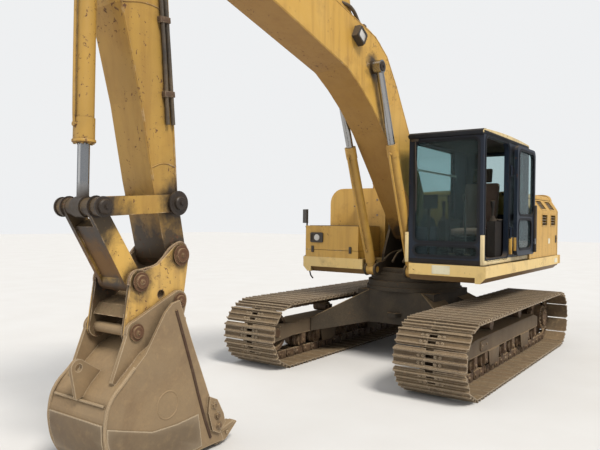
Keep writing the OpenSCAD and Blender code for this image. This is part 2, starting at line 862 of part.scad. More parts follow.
// Windows: x or y of both edges, and heights of both edges above the cab's floor
left_win = [cab_rear + 90, -door_hinge - 175, 520, 1420];
right_win = [-390, cab_front - 70, 380, 1440];
rear_win = [cab_in + 230, cab_out - 150, 560, 1430];
front_up = [cab_in + 80, cab_out - 60, 210, 1440];
front_low = [cab_in + 80, cab_out - 60, 40, 165];
win_r = 60;
module win(w, r = win_r) {
  window2d(w[0], cab_z0 + w[2], w[1], cab_z0 + w[3], r);
}
cab_hinges = [cab_z0 + 280, cab_z1 - 420];
module cab_left_wall() {
  color(dark)
    for (z = cab_hinges) {
      translate([-door_hinge, hinge_y, z])
        ears_z(cab_knuckle, 30);
      for (k = [-31, cab_knuckle + 1])
        block(
          [-door_hinge - knuckle_r, cab_out - 1, z + k],
          [-door_hinge + knuckle_r, hinge_y, z + k + 30]
        );
    }
  color(dark)
    plate(cab_out - cab_t / 2, cab_t)
      difference() {
        polygon([[cab_rear, cab_z0], [cab_front, cab_z0], [cab_front, cab_z1], [cab_rear, cab_z1]]);
        window2d(open_x0, open_z0, open_x1, open_z1, 90);
        win(left_win);
      }
}
module cab_right_wall() {
  color(dark)
    plate(cab_in + cab_t / 2, cab_t)
      difference() {
        polygon([[cab_rear, cab_z0], [cab_front, cab_z0], [cab_front, cab_z1], [cab_rear, cab_z1]]);
        win(right_win);
      }
}
module cross_wall(x) {
  translate([x, 0, 0])
    rotate([90, 0, 90])
      linear_extrude(cab_t)
        children();
}
cross_wall_pts = [
  [cab_in + cab_t, cab_z0], [cab_out - cab_t, cab_z0], [cab_out - cab_t, cab_z1], [cab_in + cab_t, cab_z1]
];
module cab_rear_wall() {
  color(dark)
    cross_wall(cab_rear)
      difference() {
        polygon(cross_wall_pts);
        win(rear_win);
      }
}
module cab_front_wall() {
  color(dark)
    cross_wall(cab_front - cab_t)
      difference() {
        polygon(cross_wall_pts);
        win(front_up);
        win(front_low);
      }
}
roof_t = 75;
module cab_roof() {
  color(paint)
    plate((cab_in + cab_out) / 2, cab_out - cab_in)
      polygon(concat(
        [[cab_rear - 20, cab_z1], [cab_front + 30, cab_z1], [cab_front + 35, cab_z1 + 18]],
        [for (i = [0:10])
          [cab_front - 10 - i * (cab_len - 10) / 10, cab_z1 + 28 + (roof_t - 28) * sin(25 + i * 13)]],
        [[cab_rear - 20, cab_z1 + 20]]
      ));
}
module pane(w) {
  window2d(w[0] + seat_gap, cab_z0 + w[2] + seat_gap, w[1] - seat_gap, cab_z0 + w[3] - seat_gap, win_r);
}
module cab_glass() {
  color(glass_col, 0.4) {
    plate(cab_out - cab_t / 2, glass_t)
      pane(left_win);
    plate(cab_in + cab_t / 2, glass_t)
      pane(right_win);
    for (w = [front_up, front_low])
      translate([cab_front - cab_t / 2 - glass_t / 2, 0, 0])
        rotate([90, 0, 90])
          linear_extrude(glass_t)
            pane(w);
    translate([cab_rear + cab_t / 2 - glass_t / 2, 0, 0])
      rotate([90, 0, 90])
        linear_extrude(glass_t)
          pane(rear_win);
  }
}
// Door, folded back against the cab's side
leaf_in = hinge_y + 24;
leaf_x0 = -door_hinge - 40;
leaf_x1 = -door_hinge - door_len;
leaf_z0 = open_z0 + 6;
leaf_z1 = open_z1 - 6;
door_up = [leaf_x1 + 75, leaf_x0 - 75, 560, 1410];
door_low = [leaf_x1 + 175, leaf_x0 - 75, 110, 500];
module cab_door() {
  color(dark) {
    plate(leaf_in + door_t / 2, door_t)
      difference() {
        window2d(leaf_x1, leaf_z0, leaf_x0, leaf_z1, 90);
        win(door_up, 90);
        win(door_low, 90);
      }
    // Hinges
    for (z = cab_hinges) {
      translate([-door_hinge, hinge_y, z])
        knuckle_z(cab_knuckle);
      block([leaf_x0 - 40, hinge_y - 8, z], [-door_hinge - hinge_r - 1, hinge_y + 8, z + cab_knuckle]);
      block([leaf_x0 - 40, hinge_y, z], [leaf_x0 - 4, leaf_in + 4, z + cab_knuckle]);
    }
  }
}
module cab_door_glass() {
  color(glass_col, 0.4)
    for (w = [door_up, door_low])
      plate(leaf_in + door_t / 2, glass_t)
        window2d(w[0] + seat_gap, cab_z0 + w[2] + seat_gap, w[1] - seat_gap, cab_z0 + w[3] - seat_gap, 90);
}

seat_x = -60;
seat_y = (cab_in + cab_out) / 2;
module seat_base() {
  color(dark) {
    block([seat_x - 230, seat_y - 200, cab_z0], [seat_x + 230, seat_y + 200, cab_z0 + 260]);
  }
}
module seat() {
  color("#3a3434") {
    block(
      [seat_x - 250, seat_y - 250, cab_z0 + 260 + seat_gap],
      [seat_x + 270, seat_y + 250, cab_z0 + 380]
    );
    plate(seat_y, 460)
      polygon([
        [seat_x - 250, cab_z0 + 370], [seat_x - 120, cab_z0 + 370], [seat_x - 240, cab_z0 + 1010],
        [seat_x - 330, cab_z0 + 1010]
      ]);
    plate(seat_y, 260)
      polygon([
        [seat_x - 325, cab_z0 + 1000], [seat_x - 235, cab_z0 + 1000], [seat_x - 270, cab_z0 + 1200],
        [seat_x - 345, cab_z0 + 1200]
      ]);
  }
}
module consoles() {
  color(dark)
    for (k = [-1, 1])
      translate([0, seat_y + k * 330, 0]) {
        block([seat_x - 200, -55, cab_z0], [seat_x + 330, 55, cab_z0 + 470]);
        translate([seat_x + 260, 0, cab_z0 + 469])
          cylinder(r = 18, h = 190, $fn = 24);
      }
}
// Rail beside the tool box: radius, height and places of its posts
rail_r = 16;
rail_top = box_top - deck_z - 2;
rail_posts = [box_x1 - 420, box_x1 - 60];
module grab_rails() {
  color(dark)
    translate([0, rail_r - house_half, deck_z]) {
      for (x = rail_posts)
        translate([x, 0, 0])
          cylinder(r = rail_r, h = rail_top, $fn = 24);
      translate([rail_posts[0] - rail_r, 0, rail_top - rail_r])
        rotate([0, 90, 0])
          cylinder(r = rail_r, h = rail_posts[1] - rail_posts[0] + 2 * rail_r, $fn = 24);
    }
}
// Mirror aimed at the seat: its length, thickness, height and turn about its post
mirror = [150, 30, 200, 55];
module side_mirror() {
  color(dark)
    translate([rail_posts[1], rail_r - house_half, deck_z + rail_top + seat_gap]) {
      cylinder(r = 12, h = 50, $fn = 24);
      rotate([0, 0, mirror[3]])
        translate([8 - mirror[0], -mirror[1] / 2, 36])
          cube([mirror[0], mirror[1], mirror[2]]);
    }
}

// Boom, in its own frame: u along the pin line from the foot, v above it
function boom_pt(u, v) =
  foot_pin + u * [cos(boom_angle), sin(boom_angle)] + v * [-sin(boom_angle), cos(boom_angle)];
tip_pin = boom_pt(boom_len, 0);
module on_boom() {
  translate([foot_pin[0], 0, foot_pin[1]])
    rotate([0, -boom_angle, 0])
      children();
}
// Sections: place as a share of boom_len, top as a share of boom_rise, depth as a share of boom_depth
boom_sections = [
  [0.196, 0.645, 0.859], [0.304, 0.881, 0.994], [0.375, 1.0, 1.099], [0.435, 1.0, 1.063],
  [0.49, 0.917, 0.924], [0.93, 0.265, 0.721]
];
function boom_top(s) = [s[0] * boom_len, s[1] * boom_rise];
function boom_low(s) = [s[0] * boom_len, s[1] * boom_rise - s[2] * boom_depth];
// Point at u on the line from p to q
function cut_at(p, q, u) = p + (q - p) * (u - p[0]) / (q[0] - p[0]);
boom_tip_r = 190;
boom_n = len(boom_sections);
boom_outline = concat(
  arc([0, 0], foot_boss, 125, 290),
  [for (s = boom_sections) boom_low(s)],
  arc([boom_len, 0], boom_tip_r, -105, 72),
  [for (i = [boom_n - 1:-1:0]) boom_top(boom_sections[i])]
);
fork_in = stick_w / 2 + 10;
fork_deep = 480;
hollow_end = boom_len - fork_deep - 60;
last_a = boom_sections[boom_n - 2];
last_b = boom_sections[boom_n - 1];
boom_hollow = concat(
  [[300, 10]],
  [for (i = [0:boom_n - 2]) boom_low(boom_sections[i])],
  [cut_at(boom_low(last_a), boom_low(last_b), hollow_end)],
  [cut_at(boom_top(last_a), boom_top(last_b), hollow_end)],
  [for (i = [boom_n - 2:-1:0]) boom_top(boom_sections[i])],
  [[300, 290]]
);
boom_pin_r = 55;
// Where the boom's cylinders push, and the foot of the stick's cylinder, in the boom's frame
boom_eye_uv = [0.411 * boom_len, 0.713 * boom_rise];
stick_foot_uv = [0.551 * boom_len, 1.041 * boom_rise];
boom_eye = boom_pt(boom_eye_uv[0], boom_eye_uv[1]);
stick_cyl_foot = boom_pt(stick_foot_uv[0], stick_foot_uv[1]);
stick_foot_r = 42;
stick_foot_lug = 110;
stick_foot_t = 32;
module boom() {
  color(paint)
    difference() {
      union() {
        on_boom() {
          difference() {
            plate(0, boom_w)
              polygon(boom_outline);
            // Hollow of the box, between foot and fork
            plate(0, boom_w - 2 * boom_t)
              offset(delta = -20)
                polygon(boom_hollow);
            // Slot of the fork
            plate(0, 2 * fork_in)
              translate([boom_len - fork_deep, -1000])
                square([2000, 2000]);
          }
          // Lugs of the stick cylinder
          both_sides()
            plate(stick_foot_lug - stick_foot_t / 2, stick_foot_t)
              translate(stick_foot_uv)
                polygon(concat(
                  [[-300, -235], [-290, -165]], arc([0, 0], 95, 140, 30), [[300, -340], [300, -420]]
                ));
        }
        // Foot pin
        bar(foot_pin, foot_pin_r, -main_y - main_t / 2 - 30, main_y + main_t / 2 + 30);
        // Caps over the tip pin
        both_sides()
          bar(tip_pin, boom_pin_r + 30, boom_w / 2 - 1, boom_w / 2 + 22);
        // Bosses beside the eyes of the boom cylinders' rods
        both_sides()
          bar(boom_eye, 74, boom_w / 2 - 1, boom_cyl_y - boom_rod_eye / 2 - 5);
      }
      bar(tip_pin, boom_pin_r + pin_gap, -fork_in - 30, fork_in + 30);
      bar(stick_cyl_foot, stick_foot_r + pin_gap, -stick_foot_lug - 1, stick_foot_lug + 1);
    }
}
lamp_uv = [0.496 * boom_len, 0.745 * boom_rise];
module boom_lamp() {
  color(dark)
    on_boom()
      block(
        [lamp_uv[0] - 85, boom_w / 2 + seat_gap, lamp_uv[1] - 75],
        [lamp_uv[0] + 85, boom_w / 2 + 70, lamp_uv[1] + 75]
      );
}

// Cylinders: the barrel's eye is at p and the rod's eye at q
function dir_of(p, q) = atan2(q[1] - p[1], q[0] - p[0]);
module along(p, q) {
  translate([p[0], 0, p[1]])
    rotate([0, -dir_of(p, q), 0])
      children();
}
module rod_x(r, x0, x1, fn = 40) {
  translate([x0, 0, 0])
    rotate([0, 90, 0])
      cylinder(r = r, h = x1 - x0, $fn = fn);
}
gland_t = 6;
gland_len = 150;
piston_len = 90;
neck_len = 38;
// Cylinders' sizes: barrel radius, bore radius, barrel length, rod radius, rod length, eye radius, eye width
module barrel(p, q, c) {
  along(p, q)
    difference() {
      union() {
        // The neck passes between the lugs
        rod_x(min(c[0], c[6] / 2) - 1, c[5] * 0.7, c[5] + neck_len + 1);
        rod_x(c[0], c[5] + neck_len, c[2]);
        rod_x(c[0] + gland_t, c[2] - gland_len, c[2]);
        bar([0, 0], c[5], -c[6] / 2, c[6] / 2, 40);
      }
      rod_x(c[1], c[5] + neck_len + 20, c[2] - gland_len);
      rod_x(c[3] + seat_gap, c[2] - gland_len - 1, c[2] + 1);
    }
}
module rod(p, q, c) {
  reach = norm(q - p);
  along(p, q) {
    rod_x(c[3], reach - c[4], reach - c[5] * 0.6);
    rod_x(c[1] - seat_gap, reach - c[4] - piston_len, reach - c[4]);
    bar([reach, 0], c[5], -c[6] / 2, c[6] / 2, 40);
  }
}
boom_cyl = [boom_barrel_r, boom_barrel_r - 12, 1700, 45, 1500, 76, barrel_eye];
boom_rod_eye = 94;
module boom_cylinder_barrels() {
  color(paint)
    for (k = [-1, 1])
      translate([0, k * boom_cyl_y, 0]) {
        barrel(cyl_foot, boom_eye, boom_cyl);
        bar(cyl_foot, cyl_pin_r, -lug_out, lug_out, 40);
      }
}
module boom_cylinder_rods() {
  color(steel)
    for (k = [-1, 1])
      translate([0, k * boom_cyl_y, 0])
        rod(cyl_foot, boom_eye, [for (i = [0:6]) i == 6 ? boom_rod_eye : boom_cyl[i]]);
}

// Stick, in its own frame: u from its pivot to its tip pin, v to its front
function stick_pt(u, v) =
  tip_pin + u * [cos(stick_angle), sin(stick_angle)] + v * [-sin(stick_angle), cos(stick_angle)];
module on_stick() {
  translate([tip_pin[0], 0, tip_pin[1]])
    rotate([0, -stick_angle, 0])
      children();
}
stick_tip = stick_pt(stick_len, 0);
lever = [-742, 165];
lever_r = 105;
stick_hub = 190;
tip_r = 105;
idler_back = 402;
idler_pin = [stick_len - idler_back, 0];
link_top = [stick_len - 422, 683];
link_low = [stick_len + 138, 405];
bucket_foot = [510, 470];
// Stick's outline: place as a share of stick_len, and v
stick_rear = [[0.342, -75], [0.596, -63], [0.848, -50]];
stick_front = [[0.801, 194], [0.604, 259], [0.374, 378], [0.19, 378], [0.068, 378]];
stick_outline = concat(
  arc(lever, lever_r, 40, 215),
  [[-480, -10], [-300, -100]],
  arc([0, 0], stick_hub, 205, 290, 5),
  [for (p = stick_rear) [p[0] * stick_len, p[1]]],
  arc([stick_len, 0], tip_r, 250, 440),
  [for (p = stick_front) [p[0] * stick_len, p[1]]]
);
stick_hollow = concat(
  [[-200, -60], [100, -150]],
  [for (p = stick_rear) [p[0] * stick_len, p[1]]],
  [for (p = stick_front) [p[0] * stick_len, p[1]]],
  [[-200, 250]]
);
stick_t = 14;
lever_slot = 58;
lever_root = 290;
idler_pin_r = 35;
tip_pin_r = 45;
bucket_lug = [76, 112];
bucket_foot_r = 38;
module stick() {
  color(paint)
    on_stick()
      difference() {
        union() {
          difference() {
            plate(0, stick_w)
              polygon(stick_outline);
            difference() {
              plate(0, stick_w - 2 * stick_t)
                offset(delta = -18)
                  polygon(stick_hollow);
              // Tubes round the pivot and the idler pin
              bar([0, 0], boom_pin_r + 40, -stick_w, stick_w);
              bar(idler_pin, idler_pin_r + 25, -stick_w, stick_w, 40);
            }
            // Open space between the lever's plates, where the stick cylinder's rod swings
            plate(0, 2 * lever_slot)
              translate([-2 * stick_hub + lever[0], -stick_w])
                square([stick_hub - lever_root - lever[0], 3 * stick_w]);
          }
          // Lugs of the bucket cylinder
          both_sides()
            plate((bucket_lug[0] + bucket_lug[1]) / 2, bucket_lug[1] - bucket_lug[0])
              polygon(concat(
                [[bucket_foot[0] + 190, 370]], arc(bucket_foot, 82, 30, 160), [[bucket_foot[0] - 230, 370]]
              ));
          bar([0, 0], stick_hub - 30, -stick_w / 2 - 5, stick_w / 2 + 5);
          bar([stick_len, 0], tip_r - 5, -stick_w / 2 - 5, stick_w / 2 + 5);
          bar([0, 0], boom_pin_r, -fork_in - 28, fork_in + 28);
        }
        bar(idler_pin, idler_pin_r + pin_gap, -stick_w, stick_w, 40);
        bar([stick_len, 0], tip_pin_r + pin_gap, -stick_w, stick_w);
        bar(bucket_foot, bucket_foot_r + pin_gap, -bucket_lug[1] - 1, bucket_lug[1] + 1, 40);
      }
}
stick_cyl = [72, 60, 1960, 47, 1650, 82, 2 * (stick_foot_lug - stick_foot_t - 4)];
stick_rod_eye = 2 * (lever_slot - 5);
rod_pin = stick_pt(lever[0], lever[1]);
module stick_cylinder_barrel() {
  color(paint) {
    barrel(stick_cyl_foot, rod_pin, stick_cyl);
    bar(stick_cyl_foot, stick_foot_r, -stick_foot_lug + 2, stick_foot_lug - 2, 40);
  }
}
module stick_cylinder_rod() {
  color(steel)
    rod(stick_cyl_foot, rod_pin, [for (i = [0:6]) i == 6 ? stick_rod_eye : stick_cyl[i]]);
}
bucket_cyl = [bucket_barrel_r, bucket_barrel_r - 12, 1560, 42, 1400, 74, 2 * (bucket_lug[0] - 4)];
bucket_rod_eye = 104;
bucket_base = stick_pt(bucket_foot[0], bucket_foot[1]);
top_pin = stick_pt(link_top[0], link_top[1]);
low_pin = stick_pt(link_low[0], link_low[1]);
module bucket_cylinder_barrel() {
  color(paint) {
    barrel(bucket_base, top_pin, bucket_cyl);
    bar(bucket_base, bucket_foot_r, -bucket_lug[1] + 2, bucket_lug[1] - 2, 40);
  }
}
module bucket_cylinder_rod() {
  color(steel)
    rod(bucket_base, top_pin, [for (i = [0:6]) i == 6 ? bucket_rod_eye : bucket_cyl[i]]);
}

// Bar with round ends of radius r0 at p and r1 at q
function bar_outline(p, q, r0, r1) =
  let (a = dir_of(p, q)) concat(arc(p, r0, a + 90, a + 270), arc(q, r1, a - 90, a + 90));
link_in = 58;
link_out = 150;
idler_in = 156;
idler_bar = [176, 214];
module idler_links() {
  color(paint) {
    both_sides() {
      plate((idler_bar[0] + idler_bar[1]) / 2, idler_bar[1] - idler_bar[0])
        polygon(bar_outline(stick_pt(idler_pin[0], idler_pin[1]), top_pin, 68, 66));
      bar(top_pin, 62, idler_in, idler_bar[1] + 10, 40);
    }
    bar(stick_pt(idler_pin[0], idler_pin[1]), idler_pin_r, -idler_bar[1] - 12, idler_bar[1] + 12, 40);
  }
}
link_foot = 168;
link_pin_r = 40;
module power_link() {
  span = norm(top_pin - low_pin);
  color(paint)
    along(low_pin, top_pin)
      difference() {
        union() {
          both_sides()
            plate((link_out + link_out - 34) / 2, 34)
              polygon(bar_outline([0, 0], [span, 0], 78, 66));
          block([50, -link_out, -52], [span - 130, link_out, 52]);
          both_sides()
            bar([span, 0], 62, link_in, link_out, 40);
          bar([0, 0], 78, -link_foot, link_foot);
        }
        bar([0, 0], link_pin_r + pin_gap, -link_foot - 1, link_foot + 1);
      }
}

// Quick coupler, placed from the stick's tip pin
module at_tip() {
  translate([stick_tip[0], 0, stick_tip[1]])
    children();
}
link_at = low_pin - stick_tip;
front_pin = [40, -345];
rear_pin = [449, -529];
bucket_pin_r = 40;
coupler_y = [181, 214];
coupler_outline = concat(
  arc([0, 0], 92, 50, 200), arc(front_pin, 78, 175, 290), arc(rear_pin, 80, 245, 350),
  arc(link_at, 88, -15, 120), [[link_at[0] * 0.56, link_at[1] * 0.45 + 20]]
);
module coupler() {
  color(paint)
    at_tip()
      difference() {
        union() {
          both_sides()
            plate((coupler_y[0] + coupler_y[1]) / 2, coupler_y[1] - coupler_y[0])
              polygon(coupler_outline);
          // Box between the two side plates
          plate(0, 2 * coupler_y[0] + 2)
            polygon([
              [-20, -300], [110, -195], [300, -310], [440, -350], [490, -430], [430, -440], [90, -290]
            ]);
          bar([0, 0], tip_pin_r, -coupler_y[1] - 14, coupler_y[1] + 14);
          bar(link_at, link_pin_r, -coupler_y[1] - 14, coupler_y[1] + 14);
        }
        for (p = [front_pin, rear_pin])
          bar(p, bucket_pin_r + pin_gap, -coupler_y[1] - 20, coupler_y[1] + 20);
        // Lightening holes
        bar([front_pin[0] + 150, front_pin[1] + 60], 34, coupler_y[0] - 1, coupler_y[1] + 1, 32);
        bar([front_pin[0] + 150, front_pin[1] + 60], 34, -coupler_y[1] - 1, -coupler_y[0] + 1, 32);
      }
}

// Bucket
lip_top = [20, -465];
floor_edge = [-400, -1515];
floor_rear = [450, -1535];
// Points of a curve from p to q that bends towards c
function bend(p, c, q, n = 6) =
  [for (i = [0:n]) let (t = i / n) p * pow(1 - t, 2) + c * 2 * t * (1 - t) + q * pow(t, 2)];
bucket_back = concat(
  [[420, -685]],
  bend([600, -840], [785, -1000], [762, -1190]),
  bend([758, -1235], [715, -1500], floor_rear)
);
mouth_top = [98, -329];
mouth = [[-340, -1365], [-250, -1165], [-31, -650]];
side_outline = concat([mouth_top, [170, -345], [240, -410]], bucket_back, [floor_edge], mouth);
shell_outline = concat([lip_top], bucket_back, [floor_edge], mouth);
shell_cut = concat([[-380, -245]], bucket_back, [[-1250, -1495]]);
hinge_plate = [220, 250];
eye_at = [748, -760];
cutter = [
  [-215, -1120], [-300, -1160], [-375, -1290], [-395, -1365], [-330, -1440], [-250, -1400], [-200, -1250]
];
cutter_t = 24;
module bucket() {
  color(dusty)
    at_tip()
      difference() {
        union() {
          both_sides()
            plate(bucket_w / 2 - bucket_side_t / 2, bucket_side_t)
              polygon(side_outline);
          // Shell
          plate(0, bucket_w - 2 * bucket_side_t + 2)
            difference() {
              polygon(shell_outline);
              offset(delta = -bucket_shell_t)
                polygon(shell_cut);
            }
          // Hinge plates
          both_sides()
            plate((hinge_plate[0] + hinge_plate[1]) / 2, hinge_plate[1] - hinge_plate[0])
              polygon(concat(
                arc(front_pin, 80, 60, 190),
                [[-10, -465], [60, -500], [420, -700], [620, -870], [650, -850]],
                arc(rear_pin, 82, -10, 80)
              ));
          for (p = [front_pin, rear_pin])
            bar(p, bucket_pin_r, -hinge_plate[1] - 8, hinge_plate[1] + 8);
          // Lifting eye
          plate(0, 30)
            polygon(concat([[560, -815]], arc(eye_at, 60, 140, -10), [[765, -980], [690, -960]]));
          // Side cutters
          both_sides()
            plate(bucket_w / 2 + cutter_t / 2 - 1, cutter_t)
              polygon(cutter);
        }
        bar(eye_at, 28, -20, 20, 32);
      }
}
tooth_w = 76;
tooth_side = [[-330, -1545], [-330, -1478], [-430, -1440], [-575, -1408], [-585, -1420], [-450, -1530]];
// Height of the floor's underside at x
function floor_at(x) = cut_at(floor_edge, floor_rear, x)[1];
module bucket_teeth() {
  color(steel)
    at_tip()
      for (i = [0:teeth_n - 1])
        plate((i / (teeth_n - 1) - 0.5) * (bucket_w - 2 * bucket_side_t - tooth_w - 4), tooth_w)
          difference() {
            polygon(tooth_side);
            polygon([
              [floor_edge[0] - 0.4, floor_at(-400) - seat_gap], [-300, floor_at(-300) - seat_gap],
              [-300, floor_at(-300) + bucket_shell_t + seat_gap],
              [-391.5, floor_at(-391) + bucket_shell_t + seat_gap]
            ]);
          }
}

carbody();
swing_ring();
track_frame_left();
track_frame_right();
track_left();
track_right();
idlers();
sprockets();
rollers_left();
rollers_right();
house_frame();
left_platform();
right_platform();
counterweight();
engine();
engine_bay();
hood();
left_side_door();
right_side_door();
fuel_tank();
hydraulic_tank();
toolbox();
toolbox_lid();
valve_block();
exhaust();
cab_floor();
cab_left_wall();
cab_right_wall();
cab_rear_wall();
cab_front_wall();
cab_roof();
cab_glass();
cab_door();
cab_door_glass();
seat_base();
seat();
consoles();
grab_rails();
side_mirror();
boom();
boom_lamp();
boom_cylinder_barrels();
boom_cylinder_rods();
stick_cylinder_barrel();
stick_cylinder_rod();
stick();
bucket_cylinder_barrel();
bucket_cylinder_rod();
idler_links();
power_link();
coupler();
bucket();
bucket_teeth();
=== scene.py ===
"""Looks of a crawler excavator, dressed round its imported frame.

Every length is in metres. +X is forward along the boom, +Y is the driver's left, +Z is up, and the
origin lies on the ground under the swing axis.
"""

import logging
import math
import random
from dataclasses import dataclass
from enum import Enum
from typing import Iterable, Optional, Sequence

import bmesh
import bpy
from mathutils import Matrix, Vector

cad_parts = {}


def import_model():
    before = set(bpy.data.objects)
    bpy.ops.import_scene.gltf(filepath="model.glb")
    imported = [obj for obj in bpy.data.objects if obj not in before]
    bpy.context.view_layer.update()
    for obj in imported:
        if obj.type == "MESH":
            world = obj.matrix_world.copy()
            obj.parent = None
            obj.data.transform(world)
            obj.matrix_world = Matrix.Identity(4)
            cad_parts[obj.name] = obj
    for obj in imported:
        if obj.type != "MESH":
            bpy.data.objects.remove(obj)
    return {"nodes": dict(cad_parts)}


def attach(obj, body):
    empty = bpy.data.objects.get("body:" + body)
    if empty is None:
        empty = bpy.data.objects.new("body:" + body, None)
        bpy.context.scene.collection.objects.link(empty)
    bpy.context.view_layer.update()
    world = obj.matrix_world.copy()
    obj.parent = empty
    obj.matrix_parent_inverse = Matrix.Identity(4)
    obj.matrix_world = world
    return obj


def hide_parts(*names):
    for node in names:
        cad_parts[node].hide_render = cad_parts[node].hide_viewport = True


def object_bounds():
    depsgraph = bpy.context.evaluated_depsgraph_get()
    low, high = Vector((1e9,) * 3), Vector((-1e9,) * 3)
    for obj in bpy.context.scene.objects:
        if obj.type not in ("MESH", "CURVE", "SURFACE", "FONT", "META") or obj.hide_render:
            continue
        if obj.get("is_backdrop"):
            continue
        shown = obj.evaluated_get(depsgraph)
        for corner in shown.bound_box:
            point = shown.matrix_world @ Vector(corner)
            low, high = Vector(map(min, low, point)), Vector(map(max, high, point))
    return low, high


LOG = logging.getLogger("excavator")

Colour = tuple[float, float, float]
Point = Sequence[float]
Sockets = bpy.types.NodeOutputs


class Axis(Enum):
    """Directions that a panel faces."""

    X = (1.0, 0.0, 0.0)
    Y = (0.0, 1.0, 0.0)


class Effect(Enum):
    """Shader node groups that several finishes share."""

    RUBBED_EDGE = "rubbed edge"
    SETTLED_DUST = "settled dust"
    CREVICE_DIRT = "crevice dirt"
    RUN_STREAKS = "run streaks"
    CHIPS = "chips"
    SPOT = "spot"


class Hue(Enum):
    """Colours that the machine shows, in linear light."""

    OCHRE = (0.590, 0.335, 0.055)
    OCHRE_DARK = (0.365, 0.212, 0.042)
    OCHRE_FADED = (0.660, 0.420, 0.115)
    # Deep ochre for stains, runs and the painted shade on faces that look down.
    OCHRE_DEEP = (0.240, 0.110, 0.018)
    CREAM = (0.740, 0.570, 0.270)
    DUST = (0.380, 0.265, 0.140)
    BUFF = (0.780, 0.540, 0.185)
    PALE_DUST = (0.560, 0.430, 0.280)
    RUST = (0.110, 0.045, 0.020)
    OLD_RUST = (0.060, 0.030, 0.018)
    BLACK = (0.012, 0.012, 0.014)
    CAB_BLACK = (0.006, 0.013, 0.027)
    CAB_WORN = (0.010, 0.018, 0.034)
    FRAME_GREY = (0.028, 0.025, 0.021)
    SHOE_STEEL = (0.086, 0.060, 0.036)
    EARTH = (0.150, 0.108, 0.066)
    SHOE_BRIGHT = (0.460, 0.365, 0.250)
    BARE_STEEL = (0.250, 0.175, 0.100)
    WORN_STEEL = (0.560, 0.450, 0.310)
    # Near black, for real grease and for painted shade in crevices and between plates.
    GREASE_AND_SHADE = (0.022, 0.015, 0.011)
    CHROME = (0.360, 0.365, 0.370)
    # Dark brown for stains and the painted shade on the link's and the platform's downward faces.
    LINK_BROWN = (0.120, 0.052, 0.012)
    SAGE = (0.420, 0.500, 0.440)
    RUBBER = (0.011, 0.013, 0.017)
    SEAT = (0.150, 0.088, 0.066)
    SEAT_DARK = (0.020, 0.018, 0.020)
    LENS = (0.620, 0.600, 0.560)
    REFLECTOR = (0.800, 0.740, 0.520)
    TINT = (0.450, 0.590, 0.600)


class Tree:
    """A node tree being wired, in a material or in a group."""

    def __init__(self, tree: bpy.types.NodeTree) -> None:
        """Keep the tree.

        Args:
            tree: The node tree that new nodes go to.
        """
        self.tree = tree

    def node(self, kind: str, **settings: object) -> bpy.types.Node:
        """Add a node.

        Args:
            kind: Blender's type name, without its ShaderNode prefix.
            settings: Values set on the node's own properties.

        Returns:
            The new node.
        """
        made = self.tree.nodes.new("ShaderNode" + kind)
        for name, value in settings.items():
            setattr(made, name, value)
        return made

    def feed(self, socket: bpy.types.NodeSocket, value: object) -> None:
        """Link or set an input.

        Args:
            socket: The input.
            value: Another node's output, a number, or a colour or vector.
        """
        if isinstance(value, bpy.types.NodeSocket):
            self.tree.links.new(value, socket)
        elif isinstance(value, (int, float)):
            socket.default_value = value
        elif len(value) == 3 and socket.type == "RGBA":
            socket.default_value = (*value, 1.0)
        else:
            socket.default_value = value

    def maths(
        self, operation: str, a: object, b: object = 0.0, clamp: bool = False,
    ) -> bpy.types.NodeSocket:
        """Combine two numbers.

        Args:
            operation: Name of the Math node's operation.
            a: First input.
            b: Second input.
            clamp: Whether the result stays between 0 and 1.

        Returns:
            The result's socket.
        """
        made = self.node("Math", operation=operation, use_clamp=clamp)
        self.feed(made.inputs[0], a)
        self.feed(made.inputs[1], b)
        return made.outputs[0]

    def vector(self, operation: str, a: object, b: object = (0.0, 0.0, 0.0)) -> bpy.types.Node:
        """Combine two vectors.

        Args:
            operation: Name of the Vector Math node's operation.
            a: First input.
            b: Second input.

        Returns:
            The node, whose outputs are a vector and a number.
        """
        made = self.node("VectorMath", operation=operation)
        self.feed(made.inputs[0], a)
        self.feed(made.inputs[1], b)
        return made

    def blend(self, share: object, a: object, b: object) -> bpy.types.NodeSocket:
        """Mix two colours.

        Args:
            share: How much of b shows.
            a: Colour at 0.
            b: Colour at 1.

        Returns:
            The mixed colour's socket.
        """
        made = self.node("Mix", data_type="RGBA", clamp_factor=True)
        self.feed(made.inputs[0], share)
        self.feed(made.inputs[6], a)
        self.feed(made.inputs[7], b)
        return made.outputs[2]

    def ramp(
        self, value: object, low: float, high: float, to_low: float = 0.0, to_high: float = 1.0,
    ) -> bpy.types.NodeSocket:
        """Remap a number, clamped at both ends.

        Args:
            value: Number to remap.
            low: Value that becomes to_low.
            high: Value that becomes to_high.
            to_low: Result at and below low.
            to_high: Result at and above high.

        Returns:
            The remapped number's socket.
        """
        made = self.node("MapRange", clamp=True)
        for socket, number in zip(made.inputs, (value, low, high, to_low, to_high)):
            self.feed(socket, number)
        return made.outputs[0]

    def noise(
        self, vector: object, scale: float, detail: float = 3.0, rough: float = 0.55, warp: float = 0.0,
    ) -> bpy.types.NodeSocket:
        """Add a noise texture.

        Args:
            vector: Coordinates.
            scale: Cells per metre.
            detail: Octaves.
            rough: Roughness of the octaves.
            warp: Distortion.

        Returns:
            The noise value's socket.
        """
        made = self.node("TexNoise")
        self.feed(made.inputs["Vector"], vector)
        self.feed(made.inputs["Scale"], scale)
        self.feed(made.inputs["Detail"], detail)
        self.feed(made.inputs["Roughness"], rough)
        self.feed(made.inputs["Distortion"], warp)
        return made.outputs[0]

    def part(self, vector: object, axis: str) -> bpy.types.NodeSocket:
        """Take one part of a vector.

        Args:
            vector: The vector.
            axis: Name of the part: X, Y or Z.

        Returns:
            The part's socket.
        """
        made = self.node("SeparateXYZ")
        self.feed(made.inputs[0], vector)
        return made.outputs[axis]


